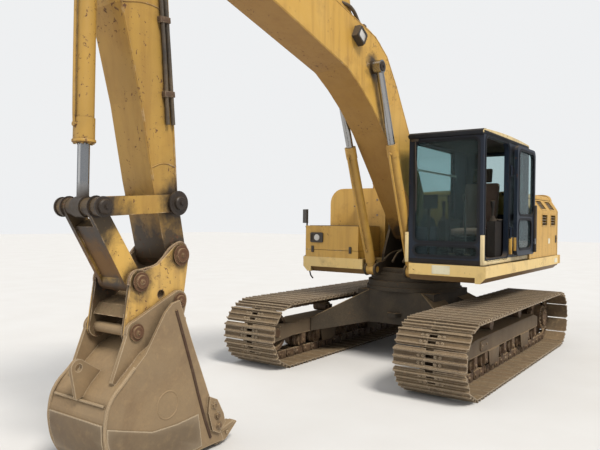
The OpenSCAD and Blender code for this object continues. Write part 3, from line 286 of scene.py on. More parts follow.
class EffectShelf:
    """Builds each shared effect once, as a node group."""

    def __init__(self) -> None:
        """Start with no group built."""
        self.groups: dict[Effect, bpy.types.NodeTree] = {}

    def get(self, effect: Effect) -> bpy.types.NodeTree:
        """Return an effect's node group, building it at its first use.

        Args:
            effect: Which effect.

        Returns:
            The node group.
        """
        if effect not in self.groups:
            build, inputs = {
                Effect.RUBBED_EDGE: (
                    self._rubbed_edge, {"Radius": 0.01, "Patch Scale": 6.0, "Amount": 0.5},
                ),
                Effect.SETTLED_DUST: (self._settled_dust, {"Patch Scale": 2.0, "Film": 0.2, "On Top": 0.7}),
                Effect.CREVICE_DIRT: (self._crevice_dirt, {"Distance": 0.08, "Amount": 0.7}),
                Effect.RUN_STREAKS: (self._run_streaks, {"Across": 9.0, "Down": 0.7, "Amount": 0.5}),
                Effect.CHIPS: (self._chips, {"Scale": 30.0, "Amount": 0.3}),
                Effect.SPOT: (self._spot, {"Centre": (0.0, 0.0, 0.0), "Radius": 0.3, "Ragged": 0.5}),
            }[effect]
            group = bpy.data.node_groups.new(effect.value, "ShaderNodeTree")
            for name, default in {"Vector": (0.0, 0.0, 0.0), **inputs}.items():
                kind = "NodeSocketFloat" if isinstance(default, float) else "NodeSocketVector"
                socket = group.interface.new_socket(name=name, in_out="INPUT", socket_type=kind)
                socket.default_value = default
            group.interface.new_socket(name="Mask", in_out="OUTPUT", socket_type="NodeSocketFloat")
            tree = Tree(group)
            given = group.nodes.new("NodeGroupInput").outputs
            out = group.nodes.new("NodeGroupOutput")
            tree.feed(out.inputs[0], build(tree, given))
            self.groups[effect] = group
        return self.groups[effect]

    def _rubbed_edge(self, tree: Tree, given: Sockets) -> bpy.types.NodeSocket:
        """Mask the sharp edges that rub bare.

        Args:
            tree: The group's tree.
            given: The group's inputs.

        Returns:
            The mask.
        """
        rounded = tree.node("Bevel", samples=4)
        tree.feed(rounded.inputs["Radius"], given["Radius"])
        flat = tree.node("NewGeometry").outputs["True Normal"]
        alike = tree.vector("DOT_PRODUCT", rounded.outputs[0], flat).outputs["Value"]
        edge = tree.ramp(alike, 0.985, 0.86)
        patch = tree.noise(given["Vector"], given["Patch Scale"], 5.0, 0.65)
        broken = tree.maths("ADD", patch, tree.maths("SUBTRACT", given["Amount"], 0.75))
        return tree.maths("MULTIPLY", edge, tree.ramp(broken, 0.22, 0.36), clamp=True)

    def _settled_dust(self, tree: Tree, given: Sockets) -> bpy.types.NodeSocket:
        """Mask the dust that lies on upward faces and in patches.

        Args:
            tree: The group's tree.
            given: The group's inputs.

        Returns:
            The mask.
        """
        up = tree.part(tree.node("TexCoord").outputs["Normal"], "Z")
        on_top = tree.maths("MULTIPLY", tree.ramp(up, 0.25, 0.9), given["On Top"])
        patch = tree.noise(given["Vector"], given["Patch Scale"], 6.0, 0.62, 0.3)
        film = tree.maths("MULTIPLY", given["Film"], tree.ramp(patch, 0.3, 0.7, 0.25, 1.6))
        both = tree.maths("ADD", on_top, film)
        speck = tree.noise(given["Vector"], 60.0, 2.0, 0.6)
        return tree.maths("MULTIPLY", both, tree.ramp(speck, 0.25, 0.6, 0.6, 1.1), clamp=True)

    def _crevice_dirt(self, tree: Tree, given: Sockets) -> bpy.types.NodeSocket:
        """Mask painted shade in corners and crevices, found by occlusion and laid on in patches.

        Args:
            tree: The group's tree.
            given: The group's inputs.

        Returns:
            The mask.
        """
        hollow = tree.node("AmbientOcclusion", samples=4)
        tree.feed(hollow.inputs["Distance"], given["Distance"])
        closed = tree.ramp(hollow.outputs["AO"], 0.85, 0.35)
        patch = tree.ramp(tree.noise(given["Vector"], 14.0, 4.0), 0.3, 0.65, 0.45, 1.0)
        return tree.maths("MULTIPLY", tree.maths("MULTIPLY", closed, given["Amount"]), patch, clamp=True)

    def _run_streaks(self, tree: Tree, given: Sockets) -> bpy.types.NodeSocket:
        """Mask the stains that run down a face.

        Args:
            tree: The group's tree.
            given: The group's inputs.

        Returns:
            The mask.
        """
        stretch = tree.node("CombineXYZ")
        for name, source in (("X", "Across"), ("Y", "Across"), ("Z", "Down")):
            tree.feed(stretch.inputs[name], given[source])
        drawn = tree.vector("MULTIPLY", given["Vector"], stretch.outputs[0]).outputs["Vector"]
        value = tree.noise(drawn, 1.0, 5.0, 0.6)
        return tree.maths("MULTIPLY", tree.ramp(value, 0.48, 0.72), given["Amount"], clamp=True)

    def _chips(self, tree: Tree, given: Sockets) -> bpy.types.NodeSocket:
        """Mask the small chips and scrapes.

        Args:
            tree: The group's tree.
            given: The group's inputs.

        Returns:
            The mask.
        """
        fine = tree.noise(given["Vector"], given["Scale"], 4.0, 0.7, 0.6)
        area = tree.maths("MULTIPLY", tree.noise(given["Vector"], 2.4, 3.0, 0.5), 0.35)
        wanted = tree.maths("ADD", area, tree.maths("MULTIPLY", given["Amount"], 0.22))
        return tree.ramp(tree.maths("ADD", fine, wanted), 0.86, 0.89)

    def _spot(self, tree: Tree, given: Sockets) -> bpy.types.NodeSocket:
        """Mask a stained area round a point.

        Args:
            tree: The group's tree.
            given: The group's inputs.

        Returns:
            The mask.
        """
        offset = tree.vector("SUBTRACT", given["Vector"], given["Centre"]).outputs["Vector"]
        pressed = tree.vector("MULTIPLY", offset, (1.0, 0.3, 1.0)).outputs["Vector"]
        share = tree.maths("DIVIDE", tree.vector("LENGTH", pressed).outputs["Value"], given["Radius"])
        patch = tree.noise(given["Vector"], 7.0, 5.0, 0.65, 0.4)
        ragged = tree.maths("MULTIPLY", given["Ragged"], 3.0)
        shifted = tree.maths("MULTIPLY", tree.maths("SUBTRACT", patch, 0.5), ragged)
        return tree.ramp(tree.maths("ADD", share, shifted), 1.05, 0.45)


SHELF = EffectShelf()


class Coat:
    """A material being mixed: a colour, a roughness and a height that effects change in turn."""

    def __init__(self, name: str) -> None:
        """Open a material with its shader.

        Args:
            name: Plain name of the finish.
        """
        self.material = bpy.data.materials.new(name)
        self.material.use_nodes = True
        self.tree = Tree(self.material.node_tree)
        self.shader = self.material.node_tree.nodes["Principled BSDF"]
        self.place = self.tree.node("TexCoord").outputs["Object"]
        self.colour: object = (0.5, 0.5, 0.5)
        self.rough: object = 0.5
        self.height: object = 0.0

    def effect(self, effect: Effect, **values: object) -> bpy.types.NodeSocket:
        """Place a shared effect in this material.

        Args:
            effect: Which effect.
            values: Input values, with underscores for spaces.

        Returns:
            The effect's mask.
        """
        made = self.tree.node("Group")
        made.node_tree = SHELF.get(effect)
        self.tree.feed(made.inputs["Vector"], self.place)
        for name, value in values.items():
            self.tree.feed(made.inputs[name.replace("_", " ").title()], value)
        return made.outputs[0]

    def cover(self, mask: object, colour: object, rough: Optional[float] = None) -> None:
        """Lay a colour over what is there.

        Args:
            mask: Where it shows.
            colour: Its colour.
            rough: Its roughness, or none to leave that as it is.
        """
        self.colour = self.tree.blend(mask, self.colour, colour)
        if rough is not None:
            steps = self.tree.node("Mix", data_type="FLOAT", clamp_factor=True)
            self.tree.feed(steps.inputs[0], mask)
            self.tree.feed(steps.inputs[2], self.rough)
            self.tree.feed(steps.inputs[3], rough)
            self.rough = steps.outputs[0]

    def raise_by(self, value: object, metres: float) -> None:
        """Add to the surface's relief.

        Args:
            value: Height as a share.
            metres: Height at a share of 1.
        """
        scaled = self.tree.maths("MULTIPLY", value, metres)
        self.height = self.tree.maths("ADD", self.height, scaled)

    def done(self, metallic: object = 0.0, coat: float = 0.0, specular: float = 0.5) -> bpy.types.Material:
        """Wire the shader.

        Args:
            metallic: Metallic value or mask.
            coat: Weight of a clear coat.
            specular: Level of the base's reflection.

        Returns:
            The finished material.
        """
        self.tree.feed(self.shader.inputs["Base Color"], self.colour)
        self.tree.feed(self.shader.inputs["Roughness"], self.rough)
        self.tree.feed(self.shader.inputs["Metallic"], metallic)
        self.shader.inputs["Coat Weight"].default_value = coat
        self.shader.inputs["Specular IOR Level"].default_value = specular
        if isinstance(self.height, bpy.types.NodeSocket):
            bump = self.tree.node("Bump")
            bump.inputs["Strength"].default_value = 1.0
            bump.inputs["Distance"].default_value = 1.0
            self.tree.feed(bump.inputs["Height"], self.height)
            self.tree.feed(self.shader.inputs["Normal"], bump.outputs[0])
        return self.material


@dataclass(frozen=True)
class Grease:
    """A greasy area round a pin."""

    centre: tuple[float, float, float]
    radius: float


@dataclass(frozen=True)
class PaintFinish:
    """Old machine paint with dust, chips, rust and grease, and painted shade on faces that look down and in
    crevices.

    Args:
        name: Plain name of the finish.
        base: Colour of clean paint.
        faded: Colour of sun-bleached patches.
        deep: Colour of stains and runs, and of the painted shade on faces that look down.
        dust: How much dust films the whole surface.
        top_dust: How much dust lies on upward faces.
        rub: How far edges are rubbed bare.
        chips: How much the paint is chipped.
        streaks: How strong the runs are.
        rough: Roughness of clean paint.
        low: Height under which earth films the paint, with the height where it ends.
        grease: Greasy areas.
        specular: Level of its reflection.
        inner: Distance from the middle plane within which inner faces go near black with painted shade and
            grease, or 0.
        shade: How strongly painted shade darkens faces that look down.
        shade_at: Upward part of a face's direction where that starts, and where it is full.
    """

    name: str
    base: Hue = Hue.OCHRE
    faded: Hue = Hue.OCHRE_FADED
    deep: Hue = Hue.OCHRE_DEEP
    dust: float = 0.18
    top_dust: float = 0.55
    rub: float = 0.45
    chips: float = 0.25
    streaks: float = 0.35
    rough: float = 0.42
    low: Optional[tuple[float, float]] = None
    grease: tuple[Grease, ...] = ()
    specular: float = 0.5
    inner: float = 0.0
    shade: float = 0.75
    shade_at: tuple[float, float] = (-0.15, -0.65)

    def make(self) -> bpy.types.Material:
        """Build the material.

        Returns:
            The material.
        """
        coat = Coat(self.name)
        tree = coat.tree
        coat.colour = self.base.value
        coat.rough = self.rough
        wide = tree.noise(coat.place, 0.9, 4.0, 0.6, 0.4)
        coat.cover(tree.ramp(wide, 0.42, 0.72, 0.0, 0.6), self.faded.value, self.rough + 0.12)
        # Painted shade: faces that look down take the deep colour and rougher paint.
        facing = tree.part(tree.node("TexCoord").outputs["Normal"], "Z")
        shaded = tree.ramp(facing, *self.shade_at, 0.0, self.shade)
        coat.cover(shaded, self.deep.value, self.rough + 0.15)
        stain = tree.noise(coat.place, 3.5, 5.0, 0.62, 0.2)
        coat.cover(tree.ramp(stain, 0.55, 0.78, 0.0, 0.45), self.deep.value)
        streaks = coat.effect(Effect.RUN_STREAKS, amount=self.streaks)
        coat.cover(streaks, self.deep.value, self.rough + 0.15)
        # Painted shade in crevices, laid on near black in patches.
        crevice = coat.effect(Effect.CREVICE_DIRT, distance=0.09, amount=0.75)
        coat.cover(crevice, Hue.GREASE_AND_SHADE.value, 0.8)
        soaked: object = 0.0
        for spot in self.grease:
            soaked = tree.maths(
                "MAXIMUM", soaked, coat.effect(Effect.SPOT, centre=spot.centre, radius=spot.radius),
            )
        if self.grease:
            coat.cover(tree.maths("MULTIPLY", soaked, 0.92), Hue.GREASE_AND_SHADE.value, 0.45)
        # Painted shade and grease: inner faces between the plates go near black.
        if self.inner:
            side = tree.maths("ABSOLUTE", tree.part(coat.place, "Y"))
            near = tree.ramp(side, self.inner, self.inner - 0.004, 0.0, 0.9)
            coat.cover(near, Hue.GREASE_AND_SHADE.value, 0.7)
        chips = coat.effect(Effect.CHIPS, amount=self.chips)
        coat.cover(chips, Hue.RUST.value, 0.85)
        rubbed = coat.effect(Effect.RUBBED_EDGE, radius=0.012, amount=self.rub)
        rust_or_bare = tree.ramp(tree.noise(coat.place, 11.0, 4.0), 0.42, 0.58)
        coat.cover(rubbed, tree.blend(rust_or_bare, Hue.RUST.value, Hue.PALE_DUST.value), 0.6)
        dust = coat.effect(Effect.SETTLED_DUST, film=self.dust, on_top=self.top_dust)
        if self.grease:
            dust = tree.maths("MULTIPLY", dust, tree.ramp(soaked, 0.0, 1.0, 1.0, 0.15))
        coat.cover(dust, Hue.DUST.value, 0.9)
        if self.low is not None:
            near = tree.ramp(tree.part(coat.place, "Z"), self.low[1], self.low[0])
            patch = tree.ramp(tree.noise(coat.place, 5.0, 6.0, 0.65), 0.3, 0.65)
            coat.cover(tree.maths("MULTIPLY", near, patch), Hue.DUST.value, 0.92)
        coat.raise_by(chips, -0.0006)
        coat.raise_by(dust, 0.0008)
        coat.raise_by(tree.noise(coat.place, 18.0, 2.0), 0.0012)
        return coat.done(specular=self.specular)


@dataclass(frozen=True)
class SteelFinish:
    """Bare steel or a casting, with earth, rust, bright worn edges and painted shade in crevices.

    Args:
        name: Plain name of the finish.
        base: Colour of the steel.
        bright: Colour of edges worn bright.
        earth: Colour of the earth on it.
        dust: How much earth films it.
        top_dust: How much earth lies on upward faces.
        rub: How far edges are worn bright.
        rust: How much rust stains it.
        rough: Roughness of clean steel.
        metallic: How metallic it is.
        relief: Depth of its pits and mud, in metres.
        earthy: How much fine earth speckles it.
        edge: Width of the bright edges.
    """

    name: str
    base: Hue = Hue.BARE_STEEL
    bright: Hue = Hue.WORN_STEEL
    earth: Hue = Hue.DUST
    dust: float = 0.35
    top_dust: float = 0.6
    rub: float = 0.7
    rust: float = 0.4
    rough: float = 0.6
    metallic: float = 0.25
    relief: float = 0.002
    earthy: float = 0.5
    edge: float = 0.009

    def make(self) -> bpy.types.Material:
        """Build the material.

        Returns:
            The material.
        """
        coat = Coat(self.name)
        tree = coat.tree
        coat.colour = self.base.value
        coat.rough = self.rough
        wide = tree.noise(coat.place, 2.2, 6.0, 0.65, 0.5)
        coat.cover(tree.ramp(wide, 0.45, 0.7, 0.0, self.rust), Hue.RUST.value, 0.85)
        fine = tree.noise(coat.place, 16.0, 6.0, 0.7)
        coat.cover(tree.ramp(fine, 0.52, 0.7, 0.0, self.earthy), self.earth.value, 0.92)
        # Painted shade in crevices, laid on near black in patches.
        crevice = coat.effect(Effect.CREVICE_DIRT, distance=0.07, amount=0.85)
        coat.cover(crevice, Hue.GREASE_AND_SHADE.value, 0.9)
        dust = coat.effect(Effect.SETTLED_DUST, patch_scale=3.0, film=self.dust, on_top=self.top_dust)
        coat.cover(dust, self.earth.value, 0.94)
        rubbed = coat.effect(Effect.RUBBED_EDGE, radius=self.edge, patch_scale=9.0, amount=self.rub)
        coat.cover(rubbed, self.bright.value, 0.38)
        coat.raise_by(fine, self.relief)
        coat.raise_by(dust, self.relief * 0.6)
        return coat.done(metallic=self.metallic)


@dataclass(frozen=True)
class PlainFinish:
    """A moulded, rubber, cloth or plated surface with light wear.

    Args:
        name: Plain name of the finish.
        colour: Its colour.
        rough: Its roughness.
        metallic: How metallic it is.
        dust: How much dust films it.
        top_dust: How much dust lies on upward faces.
        grain: Cells of its grain per metre.
        relief: Depth of its grain, in metres.
        coat: Weight of a clear coat.
        specular: Level of its reflection.
        grease: Greasy areas.
    """

    name: str
    colour: Hue
    rough: float = 0.6
    metallic: float = 0.0
    dust: float = 0.12
    top_dust: float = 0.4
    grain: float = 120.0
    relief: float = 0.0003
    coat: float = 0.0
    specular: float = 0.5
    grease: tuple[Grease, ...] = ()

    def make(self) -> bpy.types.Material:
        """Build the material.

        Returns:
            The material.
        """
        coat = Coat(self.name)
        tree = coat.tree
        coat.colour = self.colour.value
        coat.rough = self.rough
        patch = tree.noise(coat.place, 4.0, 4.0, 0.6)
        coat.rough = tree.ramp(patch, 0.3, 0.7, self.rough - 0.06, self.rough + 0.1)
        darker = tuple(channel * 0.6 for channel in self.colour.value)
        coat.cover(tree.ramp(patch, 0.45, 0.75, 0.0, 0.5), darker)
        metallic: object = self.metallic
        for spot in self.grease:
            mask = coat.effect(Effect.SPOT, centre=spot.centre, radius=spot.radius, ragged=0.12)
            coat.cover(mask, Hue.GREASE_AND_SHADE.value, 0.5)
            metallic = tree.maths("MULTIPLY", tree.maths("SUBTRACT", 1.0, mask), metallic)
        dust = coat.effect(Effect.SETTLED_DUST, film=self.dust, on_top=self.top_dust)
        coat.cover(dust, Hue.DUST.value, 0.9)
        coat.raise_by(tree.noise(coat.place, self.grain, 3.0), self.relief)
        return coat.done(metallic=metallic, coat=self.coat, specular=self.specular)


@dataclass(frozen=True)
class GlassFinish:
    """Tinted safety glass with a film of dust.

    Args:
        name: Plain name of the finish.
        tint: Colour that passes.
        film: How much dust dulls it.
    """

    name: str
    tint: Hue = Hue.TINT
    film: float = 0.018

    def make(self) -> bpy.types.Material:
        """Build the material.

        Returns:
            The material.
        """
        coat = Coat(self.name)
        tree = coat.tree
        patch = tree.noise(coat.place, 1.6, 5.0, 0.6, 0.5)
        smear = tree.ramp(patch, 0.35, 0.75, 0.0, self.film)
        coat.colour = tree.blend(smear, self.tint.value, Hue.PALE_DUST.value)
        coat.rough = 0.02
        coat.shader.inputs["Transmission Weight"].default_value = 0.97
        coat.shader.inputs["IOR"].default_value = 1.14
        return coat.done(specular=0.1)


class Shape:
    """A mesh being shaped."""

    def __init__(self) -> None:
        """Start with no geometry."""
        self.bm = bmesh.new()

    def take(self, part: bmesh.types.BMesh, place: Optional[Matrix] = None) -> None:
        """Add another mesh to this one.

        Args:
            part: The mesh, which is used up.
            place: Transform that it is added with.
        """
        bmesh.ops.recalc_face_normals(part, faces=part.faces)
        holder = bpy.data.meshes.new("part")
        part.to_mesh(holder)
        part.free()
        if place is not None:
            holder.transform(place)
        self.bm.from_mesh(holder)
        bpy.data.meshes.remove(holder)

    def box(self, low: Point, high: Point, bevel: float = 0.0, segments: int = 2) -> None:
        """Add a box.

        Args:
            low: Its lowest corner.
            high: Its highest corner.
            bevel: Width of its rounded edges.
            segments: Faces across each rounded edge.
        """
        part = bmesh.new()
        size = Vector(high) - Vector(low)
        centre = (Vector(high) + Vector(low)) / 2
        bmesh.ops.create_cube(
            part, size=1.0, matrix=Matrix.Translation(centre) @ Matrix.Diagonal((*size, 1.0)),
        )
        self._soften(part, part.edges[:], bevel, segments)
        self.take(part)

    def rod(
        self, start: Point, end: Point, radius: float, sides: int = 20, end_radius: Optional[float] = None,
        bevel: float = 0.0,
    ) -> None:
        """Add a round bar or a cone.

        Args:
            start: Middle of its first end.
            end: Middle of its other end.
            radius: Radius at the first end.
            sides: Faces round it.
            end_radius: Radius at the other end, if it differs.
            bevel: Width of its rounded rims.
        """
        part = bmesh.new()
        along = Vector(end) - Vector(start)
        turn = along.to_track_quat("Z", "Y").to_matrix().to_4x4()
        place = Matrix.Translation((Vector(start) + Vector(end)) / 2) @ turn
        last = radius if end_radius is None else end_radius
        bmesh.ops.create_cone(
            part, cap_ends=True, segments=sides, radius1=radius, radius2=last, depth=along.length,
            matrix=place,
        )
        rims = [edge for edge in part.edges if any(len(face.verts) > 4 for face in edge.link_faces)]
        self._soften(part, rims, bevel, 2)
        self.take(part)

    def plate(
        self, outline: Sequence[Point], thick: Point, bevel: float = 0.0,
        holes: Sequence[Sequence[Point]] = (),
    ) -> None:
        """Add a plate cut to an outline.

        Args:
            outline: Corners of one of its faces, in order.
            thick: Vector from that face to the other one.
            bevel: Width of its rounded edges.
            holes: Corners of each hole through it.
        """
        part = bmesh.new()
        edges = []
        for loop in (outline, *holes):
            corners = [part.verts.new(point) for point in loop]
            edges += [part.edges.new((a, b)) for a, b in zip(corners, corners[1:] + corners[:1])]
        if holes:
            bmesh.ops.triangle_fill(part, edges=edges, use_beauty=True)
        else:
            bmesh.ops.edgeloop_fill(part, edges=edges)
        made = bmesh.ops.extrude_face_region(part, geom=part.faces[:], use_keep_orig=True)
        moved = [item for item in made["geom"] if isinstance(item, bmesh.types.BMVert)]
        bmesh.ops.translate(part, verts=moved, vec=Vector(thick))
        if bevel:
            raised = [edge for edge in part.edges if self._is_rim(edge)]
            self._soften(part, raised, bevel, 2)
        self.take(part)

    def panel(
        self, outline: Sequence[tuple[float, float]], axis: Axis, at: float, thick: float,
        bevel: float = 0.0,
        holes: Sequence[Sequence[tuple[float, float]]] = (),
    ) -> None:
        """Add a plate that faces along X or Y.

        Args:
            outline: Its corners, in order, along the other level axis and up.
            axis: Direction that it faces.
            at: Where it starts along that direction.
            thick: How far it goes on.
            bevel: Width of its rounded edges.
            holes: Corners of each hole through it.
        """
        loops = [
            [(at, a, b) if axis is Axis.X else (a, at, b) for a, b in loop] for loop in (outline, *holes)
        ]
        self.plate(loops[0], [thick * part for part in axis.value], bevel, loops[1:])

    def mesh(self, name: str) -> bpy.types.Mesh:
        """Turn the shape, which is used up, into a mesh.

        Args:
            name: Name of the mesh.

        Returns:
            The mesh.
        """
        made = bpy.data.meshes.new(name)
        self.bm.to_mesh(made)
        self.bm.free()
        return made

    def turned(
        self, profile: Sequence[tuple[float, float]], centre: Point, axis: Point, sides: int = 32,
    ) -> None:
        """Add a shape turned on a lathe.

        Args:
            profile: Radius and height of each point of its section.
            centre: Point where the height is 0.
            axis: Direction in which the height grows.
            sides: Faces round it.
        """
        part = bmesh.new()
        points = [part.verts.new((radius, 0.0, height)) for radius, height in profile]
        edges = [part.edges.new((a, b)) for a, b in zip(points, points[1:])]
        if profile[0][0] > 0 and profile[-1][0] > 0:
            edges.append(part.edges.new((points[-1], points[0])))
        geom = points + edges
        bmesh.ops.spin(
            part, geom=geom, cent=(0, 0, 0), axis=(0, 0, 1), angle=math.tau, steps=sides, use_merge=True,
        )
        bmesh.ops.remove_doubles(part, verts=part.verts, dist=1e-6)
        turn = Vector(axis).to_track_quat("Z", "Y").to_matrix().to_4x4()
        self.take(part, Matrix.Translation(Vector(centre)) @ turn)

    def bolt(self, at: Point, axis: Point, radius: float = 0.016, height: float = 0.014) -> None:
        """Add a hexagon bolt head on a washer.

        Args:
            at: Where it seats.
            axis: Direction in which it stands.
            radius: Radius over its corners.
            height: Its height.
        """
        up = Vector(axis).normalized()
        base = Vector(at)
        self.rod(base - up * 0.001, base + up * height * 0.25, radius * 1.35, 14)
        self.rod(base + up * height * 0.2, base + up * height, radius, 6, radius * 0.92)

    def tube(self, path: Sequence[Point], radius: float, sides: int = 10, smooth: bool = True) -> None:
        """Add a hose, a pipe or a weld bead along a path.

        Args:
            path: Points that it follows.
            radius: Its radius.
            sides: Faces round it, an even number.
            smooth: Whether it bends smoothly through the points.
        """
        curve = bpy.data.curves.new("path", "CURVE")
        curve.dimensions = "3D"
        curve.bevel_depth = radius
        curve.bevel_resolution = max(0, sides // 2 - 2)
        curve.use_fill_caps = True
        curve.resolution_u = 5
        spline = curve.splines.new("BEZIER" if smooth else "POLY")
        points = spline.bezier_points if smooth else spline.points
        points.add(len(path) - 1)
        for point, place in zip(points, path):
            if smooth:
                point.co = place
                point.handle_left_type = point.handle_right_type = "AUTO"
            else:
                point.co = (*place, 1.0)
        holder = bpy.data.objects.new("path", curve)
        mesh = holder.to_mesh()
        self.bm.from_mesh(mesh)
        holder.to_mesh_clear()
        bpy.data.objects.remove(holder)
        bpy.data.curves.remove(curve)

    @staticmethod
    def _is_rim(edge: bmesh.types.BMEdge) -> bool:
        """Say whether an edge is a sharp corner of its plate."""
        return len(edge.link_faces) == 2 and edge.calc_face_angle(0.0) > math.radians(60)

    @staticmethod
    def _soften(
        part: bmesh.types.BMesh, edges: Sequence[bmesh.types.BMEdge], width: float, segments: int,
    ) -> None:
        """Round some edges.

        Args:
            part: The mesh.
            edges: Its edges to round.
            width: Width of the rounding, or 0 for none.
            segments: Faces across it.
        """
        if width > 0:
            bmesh.ops.bevel(
                part, geom=list(edges), offset=width, offset_type="OFFSET", segments=segments, profile=0.5,
                affect="EDGES", material=-1, clamp_overlap=True,
            )


def rounded(
    centre: tuple[float, float], half: tuple[float, float], radius: float, steps: int = 4,
) -> list[tuple[float, float]]:
    """Trace a rectangle with round corners.

    Args:
        centre: Its middle.
        half: Half of each side.
        radius: Radius of its corners.
        steps: Faces round a corner.

    Returns:
        Its points, anticlockwise.
    """
    points = []
    for quarter, (sx, sy) in enumerate(((1, 1), (-1, 1), (-1, -1), (1, -1))):
        middle = (centre[0] + sx * (half[0] - radius), centre[1] + sy * (half[1] - radius))
        for step in range(steps + 1):
            angle = math.pi / 2 * (quarter + step / steps)
            points.append((middle[0] + radius * math.cos(angle), middle[1] + radius * math.sin(angle)))
    return points


def circle(centre: tuple[float, float], radius: float, steps: int = 24) -> list[tuple[float, float]]:
    """Trace a circle.

    Args:
        centre: Its middle.
        radius: Its radius.
        steps: Number of its points.

    Returns:
        Its points, anticlockwise.
    """
    return [
        (
            centre[0] + radius * math.cos(math.tau * step / steps),
            centre[1] + radius * math.sin(math.tau * step / steps),
        )
        for step in range(steps)
    ]


def spaced(
    centre: Point, reach: float, count: int, first: float = 0.0, out: Point = (1, 0, 0),
    up: Point = (0, 0, 1)
) -> list[Vector]:
    """Place points evenly on a circle.

    Args:
        centre: Its middle.
        reach: Its radius.
        count: Number of points.
        first: Angle in degrees of the first one.
        out: Direction at 0 degrees.
        up: Direction at 90 degrees.

    Returns:
        The points.
    """
    angles = [math.radians(first) + math.tau * step / count for step in range(count)]
    spokes = [Vector(out) * math.cos(angle) + Vector(up) * math.sin(angle) for angle in angles]
    return [Vector(centre) + spoke * reach for spoke in spokes]


@dataclass
class PinnedFrame:
    """Frame of a member that lies along a pin line in the XZ plane."""

    x: float
    z: float
    angle: float

    def at(self, along: float, above: float, y: float = 0.0) -> Vector:
        """Place a point of the member.

        Args:
            along: Distance along the pin line.
            above: Distance to its left.
            y: Distance to the driver's left.

        Returns:
            The point.
        """
        cos, sin = math.cos(math.radians(self.angle)), math.sin(math.radians(self.angle))
        return Vector((self.x + along * cos - above * sin, y, self.z + along * sin + above * cos))

    def line(self, points: Iterable[tuple[float, float]], y: float = 0.0) -> list[Vector]:
        """Place several points of the member, all at one distance to the driver's left."""
        return [self.at(along, above, y) for along, above in points]

    def way(self, along: float, above: float) -> Vector:
        """Turn a direction of the member into the machine's frame.

        Args:
            along: Part along the pin line.
            above: Part to its left.

        Returns:
            The direction.
        """
        return self.at(along, above) - self.at(0.0, 0.0)


BOOM = PinnedFrame(0.090, 1.750, 29.35)
BOOM_LEN = 5.610
BOOM_RISE = 1.240
BOOM_DEEP = 0.700
CYLINDER_Y = 0.292
TIP = BOOM.at(BOOM_LEN, 0.0)
STICK = PinnedFrame(TIP.x, TIP.z, -95.45)
STICK_LEN = 2.948
STICK_TIP = STICK.at(STICK_LEN, 0.0)
IDLER_PIN = STICK.at(STICK_LEN - 0.402, 0.0)
LINK_TOP = STICK.at(STICK_LEN - 0.422, 0.683)
LINK_LOW = STICK.at(STICK_LEN + 0.138, 0.405)
ROD_EYE = STICK.at(-0.742, 0.165)
CYLINDER_FOOT = STICK.at(0.510, 0.470)
BUCKET = PinnedFrame(STICK_TIP.x, STICK_TIP.z, 0.0)


